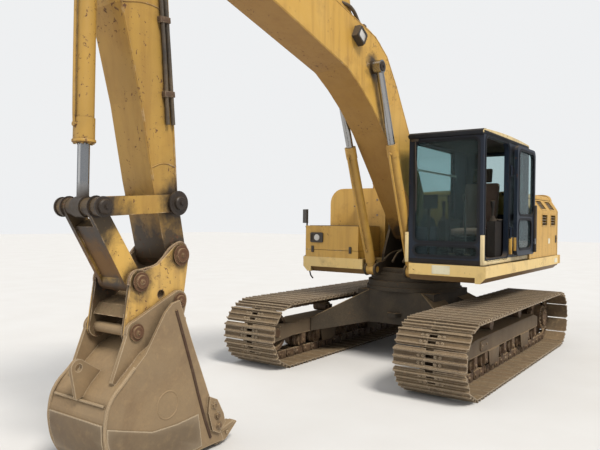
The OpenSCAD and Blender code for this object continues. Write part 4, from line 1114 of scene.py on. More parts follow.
class Coats(Enum):
    """Finishes of the machine."""

    BODY = PaintFinish("body paint", dust=0.06, top_dust=0.35, low=(1.0, 1.30), chips=0.05)
    # Its chamfer and other faces that look down take strong painted shade in dark brown.
    BEAM = PaintFinish(
        "platform paint", base=Hue.BUFF, faded=Hue.CREAM, deep=Hue.LINK_BROWN, dust=0.03, top_dust=0.3,
        chips=0.0, streaks=0.08, rub=0.3,
        shade=0.88,
    )
    BOOM = PaintFinish(
        "boom paint", dust=0.08, top_dust=0.25, chips=0.14, streaks=0.45,
        grease=(
            Grease((1.666, 0.26, 3.651), 0.20), Grease((1.666, -0.26, 3.651), 0.20),
            Grease((0.09, 0.0, 1.75), 0.42),
        ),
    )
    STICK = PaintFinish(
        "stick paint", base=Hue.OCHRE_DARK, faded=Hue.OCHRE, dust=0.06, top_dust=0.25, chips=0.24,
        streaks=0.5,
        grease=(
            Grease(tuple(IDLER_PIN), 0.22), Grease(tuple(STICK_TIP), 0.42), Grease(tuple(LINK_TOP), 0.27),
            Grease(tuple(LINK_LOW), 0.24),
        ),
    )
    # Its inner faces between the side plates go near black with painted shade and grease.
    COUPLER = PaintFinish(
        "coupler paint", deep=Hue.RUST, dust=0.18, top_dust=0.35, rub=0.8, chips=0.36, streaks=0.5,
        rough=0.6,
        grease=(Grease(tuple(STICK_TIP), 0.15), Grease(tuple(LINK_LOW), 0.17)), inner=0.204,
    )
    FRAME = PaintFinish(
        "undercarriage paint", base=Hue.SHOE_STEEL, faded=Hue.EARTH, deep=Hue.OLD_RUST, dust=0.10,
        top_dust=0.60,
        rub=0.4, chips=0.2, rough=0.75,
    )
    CHASSIS = PaintFinish(
        "chassis paint", base=Hue.FRAME_GREY, faded=Hue.FRAME_GREY, deep=Hue.BLACK, dust=0.12,
        top_dust=0.65,
        rub=0.2, chips=0.05, streaks=0.2, rough=0.7, specular=0.3,
    )
    CAB = PaintFinish(
        "cab paint", base=Hue.CAB_BLACK, faded=Hue.CAB_WORN, deep=Hue.CAB_BLACK, dust=0.008, top_dust=0.2,
        rub=0.0,
        chips=0.0, streaks=0.05, rough=0.38, specular=0.3,
    )
    INSIDE = PlainFinish("cab lining", Hue.BLACK, rough=0.85, dust=0.04, top_dust=0.22, specular=0.2)
    GASKET = PlainFinish("window rubber", Hue.RUBBER, rough=0.7, dust=0.008, top_dust=0.05, specular=0.25)
    BAR = PlainFinish("faded rail", Hue.SAGE, rough=0.5, dust=0.1)
    PLASTIC = PlainFinish("black plastic", Hue.BLACK, rough=0.5)
    RUBBER = PlainFinish("rubber", Hue.RUBBER, rough=0.65, dust=0.2)
    CHROME = PlainFinish(
        "rod plating", Hue.CHROME, rough=0.20, metallic=1.0, dust=0.06, top_dust=0.0, relief=0.0,
        grease=(Grease(tuple(LINK_TOP), 0.17), Grease(tuple(ROD_EYE), 0.20)),
    )
    SEAT = PlainFinish(
        "seat cloth", Hue.SEAT, rough=0.9, dust=0.05, top_dust=0.08, grain=700.0, relief=0.0006,
    )
    SEAT_DARK = PlainFinish("headrest cloth", Hue.SEAT_DARK, rough=0.85, grain=700.0, relief=0.0006)
    LENS = PlainFinish("lamp lens", Hue.LENS, rough=0.15, grain=90.0, relief=0.0008, coat=0.6, dust=0.1)
    PATCH = PlainFinish("reflective patch", Hue.REFLECTOR, rough=0.3, grain=260.0, coat=0.4)
    TRIM = PaintFinish(
        "yellow trim", base=Hue.CREAM, faded=Hue.REFLECTOR, dust=0.12, top_dust=0.25, chips=0.1,
    )
    SHOE = SteelFinish(
        "track shoe steel", base=Hue.SHOE_STEEL, bright=Hue.SHOE_BRIGHT, dust=0.15, top_dust=0.30, rub=1.0,
        rough=0.7,
        metallic=0.15, relief=0.003, edge=0.014,
    )
    CAST = SteelFinish(
        "oiled casting", base=Hue.OLD_RUST, bright=Hue.SHOE_BRIGHT, dust=0.16, top_dust=0.45, rub=0.5,
        rough=0.65,
        metallic=0.1,
    )
    BUCKET = SteelFinish(
        "bucket steel", dust=0.30, top_dust=0.35, rub=1.0, rust=0.35, relief=0.0025,
    )
    HEEL = SteelFinish(
        "worn heel plate", base=Hue.EARTH, bright=Hue.WORN_STEEL, dust=0.14, top_dust=0.35, rub=1.0,
        rust=0.25, earthy=0.3,
        edge=0.016,
    )
    MARK = SteelFinish("raised mark", dust=0.32, top_dust=0.35, rub=0.12, rust=0.5)
    SEAM = SteelFinish(
        "old weld", base=Hue.OLD_RUST, bright=Hue.DUST, dust=0.06, rub=0.1, rust=0.5, earthy=0.15,
    )
    GREASY = SteelFinish(
        "greasy casting", base=Hue.GREASE_AND_SHADE, bright=Hue.DUST, dust=0.02, top_dust=0.08, rub=0.2, rough=0.42,
        metallic=0.1, rust=0.15, earthy=0.06,
    )
    # Faces that look even slightly down take strong painted shade in dark brown.
    LINK = PaintFinish(
        "link paint", base=Hue.OCHRE, faded=Hue.OCHRE_FADED, deep=Hue.LINK_BROWN, dust=0.06, top_dust=0.3,
        rub=0.5,
        chips=0.2, streaks=0.3, rough=0.6, shade=0.94, shade_at=(0.0, -0.35),
        grease=(Grease(tuple(LINK_TOP), 0.37), Grease(tuple(LINK_LOW), 0.14)),
    )
    HANGER = SteelFinish(
        "rusty plate", base=Hue.RUST, bright=Hue.WORN_STEEL, dust=0.12, rub=0.7, rust=0.5, earthy=0.2,
    )
    PIN = SteelFinish("rusty pin", base=Hue.RUST, bright=Hue.DUST, dust=0.06, rub=0.5, rust=0.5, earthy=0.1)
    BOLT = SteelFinish(
        "bolt steel", base=Hue.OLD_RUST, bright=Hue.SHOE_BRIGHT, dust=0.35, rub=0.6, metallic=0.4,
    )
    GLASS = GlassFinish("tinted glass")


class Wardrobe:
    """Materials, each built at its first use."""

    def __init__(self) -> None:
        """Start with none built."""
        self.made: dict[Coats, bpy.types.Material] = {}

    def get(self, coat: Coats) -> bpy.types.Material:
        """Return a finish's material.

        Args:
            coat: Which finish.

        Returns:
            The material.
        """
        if coat not in self.made:
            self.made[coat] = coat.value.make()
        return self.made[coat]


WARDROBE = Wardrobe()


@dataclass
class Assembly:
    """Part of the machine that is dressed in one go."""

    body: str

    def deliver(
        self, shape: Shape, name: str, slot: str, coat: Coats, body: Optional[str] = None,
        stands_for: Iterable[str] = (),
        crease: float = 32.0,
    ) -> bpy.types.Object:
        """Turn a shape into a finished piece.

        Args:
            shape: The shape, which is used up.
            name: Name of the piece.
            slot: Name of a material slot in the record; not used.
            coat: Its finish.
            body: Body that it rides on, if not the assembly's own.
            stands_for: CAD nodes that it replaces.
            crease: Angle in degrees over which an edge stays sharp.

        Returns:
            The piece.
        """
        mesh = shape.mesh(name)
        mesh.materials.append(WARDROBE.get(coat))
        mesh.shade_smooth()
        mesh.set_sharp_from_angle(angle=math.radians(crease))
        piece = bpy.data.objects.new(name, mesh)
        bpy.context.scene.collection.objects.link(piece)
        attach(piece, body or self.body)
        if stands_for:
            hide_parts(*stands_for)
        LOG.info("%s: %d faces", name, len(mesh.polygons))
        return piece

    @staticmethod
    def dress(nodes: dict[str, bpy.types.Object], names: Iterable[str], coat: Coats) -> None:
        """Give CAD nodes a finish.

        Args:
            nodes: The frame's nodes.
            names: Which of them.
            coat: Their finish.
        """
        for name in names:
            for slot in nodes[name].material_slots:
                slot.link = "OBJECT"
                slot.material = WARDROBE.get(coat)


@dataclass
class Track(Assembly):
    """Chain and shoes of one side.

    Args:
        side: 1 on the driver's left, -1 on the right.
    """

    side: int = 1
    wheelbase: float = 3.65
    half_gauge: float = 1.19
    chain_r: float = 0.32
    axle_z: float = 0.41
    step: float = 0.19
    shoe_w: float = 0.80
    link_h: float = 0.106
    shoe_t: float = 0.010
    grouser_h: float = 0.027
    rail: float = 0.09
    link_t: float = 0.018

    def pin(self, index: int, count: int, loop: float) -> tuple[float, float]:
        """Place a pin of the chain.

        Args:
            index: Which pin.
            count: Number of pins.
            loop: Length of the chain.

        Returns:
            Its x and height above the axle.
        """
        base, radius = self.wheelbase, self.chain_r
        along = ((index % count) + 0.5) * loop / count
        front = along - base
        top = front - math.pi * radius
        rear = top - base
        if front < 0:
            return along - base / 2, -radius
        if top < 0:
            return base / 2 + radius * math.sin(front / radius), -radius * math.cos(front / radius)
        if rear < 0:
            return base / 2 - top, radius
        return -base / 2 - radius * math.sin(rear / radius), radius * math.cos(rear / radius)

    def shoe(self) -> bpy.types.Mesh:
        """Build one shoe with its bolts, from its pin along the chain.

        Returns:
            Its mesh.
        """
        shape = Shape()
        length, low = self.step - 0.002, self.link_h / 2
        top = low + self.shoe_t
        half = self.shoe_w / 2
        ridges = [(0.1, 1.0), (0.5, 0.92), (0.9, 1.0)]

        def ridge(share: float, tall: float) -> list[tuple[float, float]]:
            """Trace a grouser, from its leading foot to its trailing one."""
            middle = share * self.step
            return [
                (middle + 0.015, top), (middle + 0.007, top + self.grouser_h * tall),
                (middle - 0.007, top + self.grouser_h * tall), (middle - 0.015, top),
            ]

        lip = [
            (0.0, low), (length, low), (length + 0.017, low - 0.007), (length + 0.020, low - 0.001),
            (length, top),
        ]
        whole = lip + [point for ridge_at in reversed(ridges) for point in ridge(*ridge_at)] + [(0.0, top)]
        hole = 0.045
        for side in (-half, hole):
            shape.panel(whole, Axis.Y, side, half - hole)
        for start, end, ridge_at in (
            (0.0, 0.21, ridges[0]), (0.40, 0.60, ridges[1]), (0.79, 1.0, ridges[2]),
        ):
            section = [
                (start * length, low), (end * length, low), (end * length, top), *ridge(*ridge_at),
                (start * length, top)
            ]
            shape.panel(section, Axis.Y, -hole, 2 * hole)
        for corner in ((0.0, -1), (0.0, 1), (length + 0.02, -1), (length + 0.02, 1)):
            inward = 1 if corner[0] == 0.0 else -1
            geometry = shape.bm.verts[:] + shape.bm.edges[:] + shape.bm.faces[:]
            bmesh.ops.bisect_plane(
                shape.bm, geom=geometry, plane_co=(corner[0] + inward * 0.022, corner[1] * half, 0),
                plane_no=(-inward, corner[1], 0), clear_outer=True,
            )
            open_rim = [edge for edge in shape.bm.edges if len(edge.link_faces) == 1]
            bmesh.ops.holes_fill(shape.bm, edges=open_rim)
        for along in (0.3, 0.7):
            for across in (-self.rail - 0.028, -self.rail + 0.022, self.rail - 0.022, self.rail + 0.028):
                shape.rod(
                    (along * length, across, top - 0.001), (along * length, across, top + 0.012), 0.014, 6,
                )
        return shape.mesh("one shoe")

    def link(self) -> bpy.types.Mesh:
        """Build one pair of links with the bushing and pin at their near end.

        Returns:
            Its mesh.
        """
        shape = Shape()
        length, high = self.step, self.link_h / 2
        near = [
            (-0.046, -0.012), (-0.034, -high + 0.008), (-0.010, -high), (0.62 * length, -high),
            (0.62 * length, high),
            (0.012, high), (-0.034, 0.036), (-0.046, 0.014),
        ]
        far = [
            (0.38 * length, -high), (length + 0.010, -high), (length + 0.034, -high + 0.008),
            (length + 0.046, -0.012),
            (length + 0.046, 0.014), (length + 0.034, 0.036), (length - 0.012, high), (0.38 * length, high),
        ]
        for side in (-1, 1):
            shape.panel(near, Axis.Y, side * (self.rail - self.link_t), side * self.link_t, 0.002)
            shape.panel(far, Axis.Y, side * self.rail, side * self.link_t, 0.002)
        shape.rod((0, -self.rail + self.link_t, 0), (0, self.rail - self.link_t, 0), 0.030, 16)
        shape.rod((0, -self.rail - 0.030, 0), (0, self.rail + 0.030, 0), 0.020, 12, bevel=0.003)
        return shape.mesh("one link")

    def build(self) -> None:
        """Build the chain and its shoes."""
        loop = 2 * self.wheelbase + math.tau * self.chain_r
        count = round(loop / self.step)
        name = "left" if self.side > 0 else "right"
        shoe, link = self.shoe(), self.link()
        shoes, links = Shape(), Shape()
        for index in range(count):
            near, far = self.pin(index, count, loop), self.pin(index + 1, count, loop)
            along = Vector((far[0] - near[0], 0, far[1] - near[1])).normalized()
            out = Vector((along.z, 0, -along.x))
            across = out.cross(along)
            place = Matrix((
                (along.x, across.x, out.x, near[0]),
                (along.y, across.y, out.y, self.side * self.half_gauge),
                (along.z, across.z, out.z, near[1] + self.axle_z), (0, 0, 0, 1),
            ))
            for target, source in ((shoes, shoe), (links, link)):
                copied = source.copy()
                copied.transform(place)
                target.bm.from_mesh(copied)
                bpy.data.meshes.remove(copied)
        bpy.data.meshes.remove(shoe)
        bpy.data.meshes.remove(link)
        self.deliver(
            shoes, f"shoes_{name}", "track_steel", Coats.SHOE, stands_for=[f"track_{name}"], crease=25,
        )
        self.deliver(links, f"chain_{name}", "track_steel", Coats.CAST, stands_for=[f"track_{name}"])


@dataclass
class Undercarriage(Assembly):
    """Carbody, track frames, wheels and what is bolted to them."""

    half_gauge: float = 1.19
    frame_half: float = 0.15
    axle_z: float = 0.41
    rear_x: float = -1.825
    front_x: float = 1.825
    roller_z: float = 0.2213
    rollers: tuple[float, float, int] = (-1.29, 2.52, 8)

    def build(self, nodes: dict[str, bpy.types.Object]) -> None:
        """Dress the undercarriage.

        Args:
            nodes: The frame's nodes.
        """
        self.dress(nodes, ("track_frame_left", "track_frame_right"), Coats.FRAME)
        self.dress(nodes, ("carbody", "swing_ring"), Coats.CHASSIS)
        self.dress(nodes, ("idlers", "sprockets", "rollers_left", "rollers_right"), Coats.CAST)
        self.dress(nodes, ("track_left", "track_right"), Coats.SHOE)
        self.guards()
        self.bolts()

    def guards(self) -> None:
        """Build the chain guides, the grease covers and the seams of the track frames."""
        guards, seams = Shape(), Shape()
        for side in (-1, 1):
            for face in (-1, 1):
                y = side * self.half_gauge + face * self.frame_half
                for x in (-0.70, 0.62):
                    outline = [(x - 0.20, 0.33), (x + 0.20, 0.33), (x + 0.16, 0.15), (x - 0.16, 0.15)]
                    guards.panel(outline, Axis.Y, y, face * 0.014, 0.003)
                seams.tube([(-1.38, y, 0.334), (1.43, y, 0.334)], 0.006, 6, False)
                seams.tube([(-1.19, y, 0.516), (1.24, y, 0.516)], 0.006, 6, False)
            outer = side * (self.half_gauge + self.frame_half)
            guards.panel(rounded((0.98, 0.425), (0.13, 0.055), 0.03), Axis.Y, outer, side * 0.012, 0.003)
        self.deliver(guards, "chain_guards", "paint", Coats.FRAME)
        self.deliver(seams, "track_frame_welds", "paint", Coats.FRAME)

    def bolts(self) -> None:
        """Build the rollers' end caps, the front axles' caps and bolts, and the bolts of the final drives
        and the grease covers.
        """
        bolts, caps = Shape(), Shape()
        first, span, count = self.rollers
        for side in (-1, 1):
            for face in (-1, 1):
                y = side * self.half_gauge + face * self.frame_half
                for index in range(count):
                    x = first + index * span / (count - 1)
                    start, end = (x, y - face * 0.01, self.roller_z), (x, y + face * 0.012, self.roller_z)
                    caps.rod(start, end, 0.026, 14, bevel=0.004)
                start = (self.front_x, y - face * 0.02, self.axle_z)
                caps.rod(start, (self.front_x, y + face * 0.016, self.axle_z), 0.060, 20, bevel=0.006)
                for at in spaced((self.front_x, y, self.axle_z), 0.092, 4, 45):
                    bolts.bolt(at, (0, face, 0), 0.012, 0.012)
            hub = side * (self.half_gauge + 0.118)
            for at in spaced((self.rear_x, hub, self.axle_z), 0.152, 14):
                bolts.bolt(at, (0, side, 0), 0.013, 0.014)
            plug = side * (self.half_gauge + 0.153)
            for x, z in ((self.rear_x + 0.06, self.axle_z - 0.05), (self.rear_x, self.axle_z + 0.07)):
                bolts.bolt((x, plug, z), (0, side, 0), 0.018, 0.012)
            for x, z in ((0.90, 0.425), (1.06, 0.425)):
                bolts.bolt(
                    (x, side * (self.half_gauge + self.frame_half + 0.012), z), (0, side, 0), 0.013, 0.010,
                )
        self.deliver(bolts, "undercarriage_bolts", "cast_parts", Coats.BOLT)
        self.deliver(caps, "axle_caps", "cast_parts", Coats.CAST)


@dataclass
class House(Assembly):
    """Upper frame, platforms, covers, tanks and tool box."""

    half: float = 1.361
    deck: float = 1.334
    skirt: float = 0.206
    nose_left: float = 1.000
    weight_top: float = 2.320
    hood_top: float = 2.340
    tail_r: float = 2.950
    door_face: float = 1.341
    tank_top: float = 2.330
    tank_front: float = 0.150
    rail_y: float = -1.345
    mirror_x: float = 0.740
    lamp_middle: tuple[float, float] = (-1.13, 1.61)
    eye_y: float = 0.62
    tail_lamp_y: float = 0.90
    box_x: tuple[float, float] = (0.190, 0.800)
    box_y: tuple[float, float] = (-1.321, -0.456)
    seam: float = 1.440
    box_top: float = 1.776
    shoulder: tuple[float, float, float] = (2.040, 2.210, 0.120)
    vents: tuple[tuple[float, float, float], ...] = (
        (-1.889, 2.062, 0.128), (-2.419, 2.062, 0.128), (-1.889, 1.814, 0.165), (-2.419, 1.814, 0.165),
    )
    vent_w: float = 0.300

    def build(self, nodes: dict[str, bpy.types.Object]) -> None:
        """Dress the house.

        Args:
            nodes: The frame's nodes.
        """
        yellow = (
            "counterweight", "engine_bay", "hood", "left_side_door", "right_side_door", "fuel_tank",
            "hydraulic_tank", "toolbox", "toolbox_lid",
        )
        self.dress(nodes, yellow, Coats.BODY)
        self.dress(nodes, ("left_platform", "right_platform"), Coats.BEAM)
        self.dress(nodes, ("house_frame", "valve_block", "exhaust"), Coats.CHASSIS)
        self.dress(nodes, ("engine",), Coats.CAST)
        self.dress(nodes, ("grab_rails", "side_mirror"), Coats.PLASTIC)
        self.louvres()
        self.front_box()
        self.tank_fittings()
        self.tail()
        self.hydraulics()
        self.deck_trim()

    def skin(self, z: float) -> float:
        """Return the distance of a side door's face from the middle plane.

        Args:
            z: Height on the door.

        Returns:
            The distance, which shrinks up the door's shoulder.
        """
        low, high, lean = self.shoulder
        return self.door_face - lean * max(0.0, z - low) / (high - low)

    def louvres(self) -> None:
        """Build the slats and frames of the left door's vents."""
        slats, frames = Shape(), Shape()
        wide = self.vent_w
        for x, z, tall in self.vents:
            lean = self.skin(z) - self.skin(z + tall)
            out = Vector((0.0, tall, lean)).normalized()
            for row in range(4):
                low = z + tall * (row + 0.15) / 4
                face = self.skin(low)
                outline = [
                    (face - 0.027, low), (face - 0.004, low - 0.012), (face - 0.003, low - 0.008),
                    (face - 0.024, low + 0.010),
                ]
                slats.panel(outline, Axis.X, x, wide)
            outer = rounded((x + wide / 2, z + tall / 2), (wide / 2 + 0.014, tall / 2 + 0.014), 0.02)
            inner = rounded((x + wide / 2, z + tall / 2), (wide / 2 - 0.002, tall / 2 - 0.002), 0.012)
            placed = [
                [Vector((a, self.skin(b), b)) - out * 0.002 for a, b in loop] for loop in (outer, inner)
            ]
            frames.plate(placed[0], out * 0.007, 0.0, [placed[1]])
        self.deliver(slats, "vent_slats", "dark_paint", Coats.PLASTIC, "left_door")
        self.deliver(frames, "vent_frames", "paint", Coats.BODY, "left_door")
        for side, body in ((1, "left_door"), (-1, "right_door")):
            latch, face = Shape(), side * self.door_face
            latch.panel(rounded((-2.455, 1.60), (0.035, 0.06), 0.015), Axis.Y, face, side * 0.008, 0.002)
            latch.rod((-2.455, face, 1.61), (-2.455, face + side * 0.014, 1.61), 0.016, 14)
            self.deliver(latch, f"latch_{body}", "black_plastic", Coats.PLASTIC, body)

    def front_box(self) -> None:
        """Build the lamp, the latches and the treads of the tool box."""
        front = self.box_x[1]
        bezel, lens, trim = Shape(), Shape(), Shape()
        middle = self.lamp_middle
        opening = rounded(middle, (0.085, 0.050), 0.015)
        bezel.panel(rounded(middle, (0.105, 0.070), 0.02), Axis.X, front, 0.016, holes=[opening])
        bezel.panel(rounded(middle, (0.09, 0.055), 0.015), Axis.X, front + 0.0005, 0.003)
        lens.turned(
            [(0.0, 0.010), (0.030, 0.009), (0.044, 0.004), (0.046, 0.0)], (front + 0.003, *middle),
            (1, 0, 0), 28,
        )
        self.deliver(bezel, "box_lamp_bezel", "black_plastic", Coats.PLASTIC, "toolbox_lid")
        self.deliver(lens, "box_lamp_lens", "black_plastic", Coats.LENS, "toolbox_lid")
        for y in (-1.20, -0.58):
            trim.box(
                (front, y - 0.02, self.seam - 0.04), (front + 0.010, y + 0.02, self.seam + 0.05), 0.003,
            )
            trim.rod(
                (front + 0.008, y - 0.016, self.seam + 0.045),
                (front + 0.008, y + 0.016, self.seam + 0.045), 0.006, 10,
            )
        self.deliver(trim, "box_latches", "black_plastic", Coats.PLASTIC, "toolbox_lid")
        tread = Shape()
        for x in (self.box_x[0] + 0.02, (self.box_x[0] + self.box_x[1]) / 2 + 0.01):
            low = (x, self.box_y[0] + 0.05, self.box_top)
            high = (x + 0.27, self.box_y[1] - 0.05, self.box_top + 0.004)
            tread.box(low, high, 0.0015)
        self.deliver(tread, "box_treads", "black_plastic", Coats.RUBBER, "toolbox_lid")

    def tank_fittings(self) -> None:
        """Build the tanks' caps and bolts and the pipe bracket in front of them."""
        caps, bolts, bracket = Shape(), Shape(), Shape()
        caps.turned(
            [(0.070, 0.0), (0.072, 0.010), (0.066, 0.030), (0.040, 0.036), (0.0, 0.036)],
            (-0.06, -0.64, self.tank_top + 0.070), (0, 0, 1),
        )
        caps.turned(
            [(0.105, 0.0), (0.105, 0.012), (0.09, 0.02), (0.0, 0.022)],
            (-0.70, -0.80, self.tank_top - 0.04), (0, 0, 1),
        )
        for at in spaced((-0.70, -0.80, self.tank_top - 0.019), 0.088, 6, up=(0, 1, 0)):
            bolts.bolt(at, (0, 0, 1), 0.010, 0.010)
        for z in (1.50, 1.72, 1.94, 2.16):
            bolts.bolt((self.tank_front, -0.52, z), (1, 0, 0), 0.012, 0.011)
        front = self.tank_front
        bracket.box((front, -0.86, 2.055), (front + 0.09, -0.74, 2.075), 0.003)
        bracket.box((front, -0.86, 2.02), (front + 0.012, -0.74, 2.075), 0.003)
        bracket.rod((front + 0.055, -0.80, 2.05), (front + 0.055, -0.80, 2.11), 0.02, 14, bevel=0.003)
        self.deliver(caps, "tank_caps", "paint", Coats.TRIM)
        self.deliver(bolts, "tank_bolts", "cast_parts", Coats.BOLT)
        self.deliver(bracket, "tank_bracket", "paint", Coats.CAST)

    def tail(self) -> None:
        """Build the lamps and lifting eyes of the counterweight and the hood's grille."""
        black, lens, eyes, grille = Shape(), Shape(), Shape(), Shape()
        for side in (-1, 1):
            y = side * self.tail_lamp_y
            x = -math.sqrt(self.tail_r ** 2 - self.tail_lamp_y ** 2)
            black.box((x - 0.012, y - 0.09, 1.70), (x + 0.06, y + 0.09, 1.78), 0.008)
            lens.box((x - 0.018, y - 0.075, 1.712), (x - 0.006, y + 0.075, 1.768), 0.006)
            inner, middle = side * self.eye_y - 0.02, -2.70
            outline = (
                (-0.09, -0.01), (0.09, -0.01), (0.06, 0.05), (0.02, 0.075), (-0.02, 0.075), (-0.06, 0.05),
            )
            outer = [(middle + along, self.weight_top + above) for along, above in outline]
            hole = circle((middle, self.weight_top + 0.03), 0.024, 16)
            eyes.panel(outer, Axis.Y, inner, 0.04, holes=[hole])
        for row in range(11):
            x = -2.38 + row * 0.055
            grille.box((x, 0.00, self.hood_top - 0.012), (x + 0.03, 0.36, self.hood_top + 0.004), 0.002)
        self.deliver(black, "tail_lamp_cases", "black_plastic", Coats.PLASTIC)
        self.deliver(lens, "tail_lamp_lenses", "black_plastic", Coats.LENS)
        self.deliver(eyes, "weight_eyes", "paint", Coats.BODY)
        self.deliver(grille, "hood_grille", "dark_paint", Coats.PLASTIC, "hood")

    def hydraulics(self) -> None:
        """Build the hoses and pipes between the valve block and the boom's foot."""
        hoses, collars = Shape(), Shape()
        for index in range(6):
            y = -0.15 + 0.06 * index
            start = (-0.34 + 0.02 * (index % 2), y, 1.50)
            path = [start, (-0.26, y, 1.66), (-0.16, y * 0.9, 1.86), (-0.20, y * 0.8, 2.10)]
            hoses.tube(path, 0.019, 10)
            collars.rod((start[0] - 0.03, y, 1.47), (start[0] + 0.015, y, 1.535), 0.025, 8)
        for index, y in enumerate((-0.13, -0.05, 0.04, 0.12)):
            hoses.tube(
                [
                    (-0.06, y, 1.49), (0.10, y * 1.3, 1.44), (0.32, y * 1.6, 1.40 + 0.03 * index),
                    (0.50, y * 1.8, 1.30),
                ],
                0.016, 10,
            )
        self.deliver(hoses, "valve_hoses", "black_plastic", Coats.RUBBER)
        self.deliver(collars, "hose_ends", "cast_parts", Coats.BOLT)
        swivel, bolts = Shape(), Shape()
        swivel.turned(
            [(0.0, 0.05), (0.11, 0.05), (0.12, 0.035), (0.12, 0.0), (0.0, 0.0)], (-0.06, 0.0, 1.489),
            (0, 0, 1),
        )
        for side in (-1, 1):
            for reach in (-0.05, 0.05):
                bolts.bolt(
                    (0.09 + reach, side * CYLINDER_Y, 1.75 + reach * 0.5), (0, side, 0), 0.014, 0.014,
                )
        self.deliver(swivel, "swivel_top", "dark_paint", Coats.CHASSIS)
        self.deliver(bolts, "foot_pin_bolts", "cast_parts", Coats.BOLT)

    def deck_trim(self) -> None:
        """Build the reflective patches, treads, step and rail fittings of the platforms."""
        patch, tread, steel, mirror = Shape(), Shape(), Shape(), Shape()
        face = self.nose_left
        top, low = self.deck - 0.020, self.deck - self.skirt + 0.078
        outline = rounded((0.810, (top + low) / 2 + 0.010), (0.115, 0.052), 0.006)
        patch.panel(outline, Axis.X, face + 0.0004, 0.0016)
        for side in (-1, 1):
            outline = rounded((-2.40, (top + low) / 2), (0.09, 0.035), 0.006)
            patch.panel(outline, Axis.Y, side * (self.half + 0.0004), side * 0.0016)
        self.deliver(patch, "reflective_patches", "paint", Coats.PATCH)
        small = Shape()
        small.panel(rounded((-2.03, 1.575), (0.055, 0.040), 0.01), Axis.Y, self.door_face, 0.0016)
        self.deliver(small, "door_patch", "paint", Coats.PATCH, "left_door")
        tread.box((0.82, 0.40, self.deck), (0.985, 1.34, self.deck + 0.004), 0.0015)
        self.deliver(tread, "platform_tread", "black_plastic", Coats.RUBBER)
        for x in (0.380, self.mirror_x):
            steel.rod(
                (x, self.rail_y, self.deck), (x, self.rail_y, self.deck + 0.010), 0.032, 18, bevel=0.003,
            )
        steel.tube(
            [(0.56, -1.352, 1.30), (0.56, -1.395, 1.25), (0.56, -1.395, 1.05), (0.56, -1.352, 1.00)], 0.011,
            8,
        )
        self.deliver(steel, "rail_feet", "dark_paint", Coats.PLASTIC)
        turn = Matrix.Translation((self.mirror_x, self.rail_y, 1.910)) @ Matrix.Rotation(
            math.radians(55), 4, "Z",
        )
        outline = rounded((-0.067, 0.0), (0.062, 0.088), 0.02)
        mirror.plate(
            [turn @ Vector((a, 0.0152, b)) for a, b in outline], turn.to_3x3() @ Vector((0, 0.003, 0)),
        )
        self.deliver(mirror, "mirror_glass", "black_plastic", Coats.CHROME)


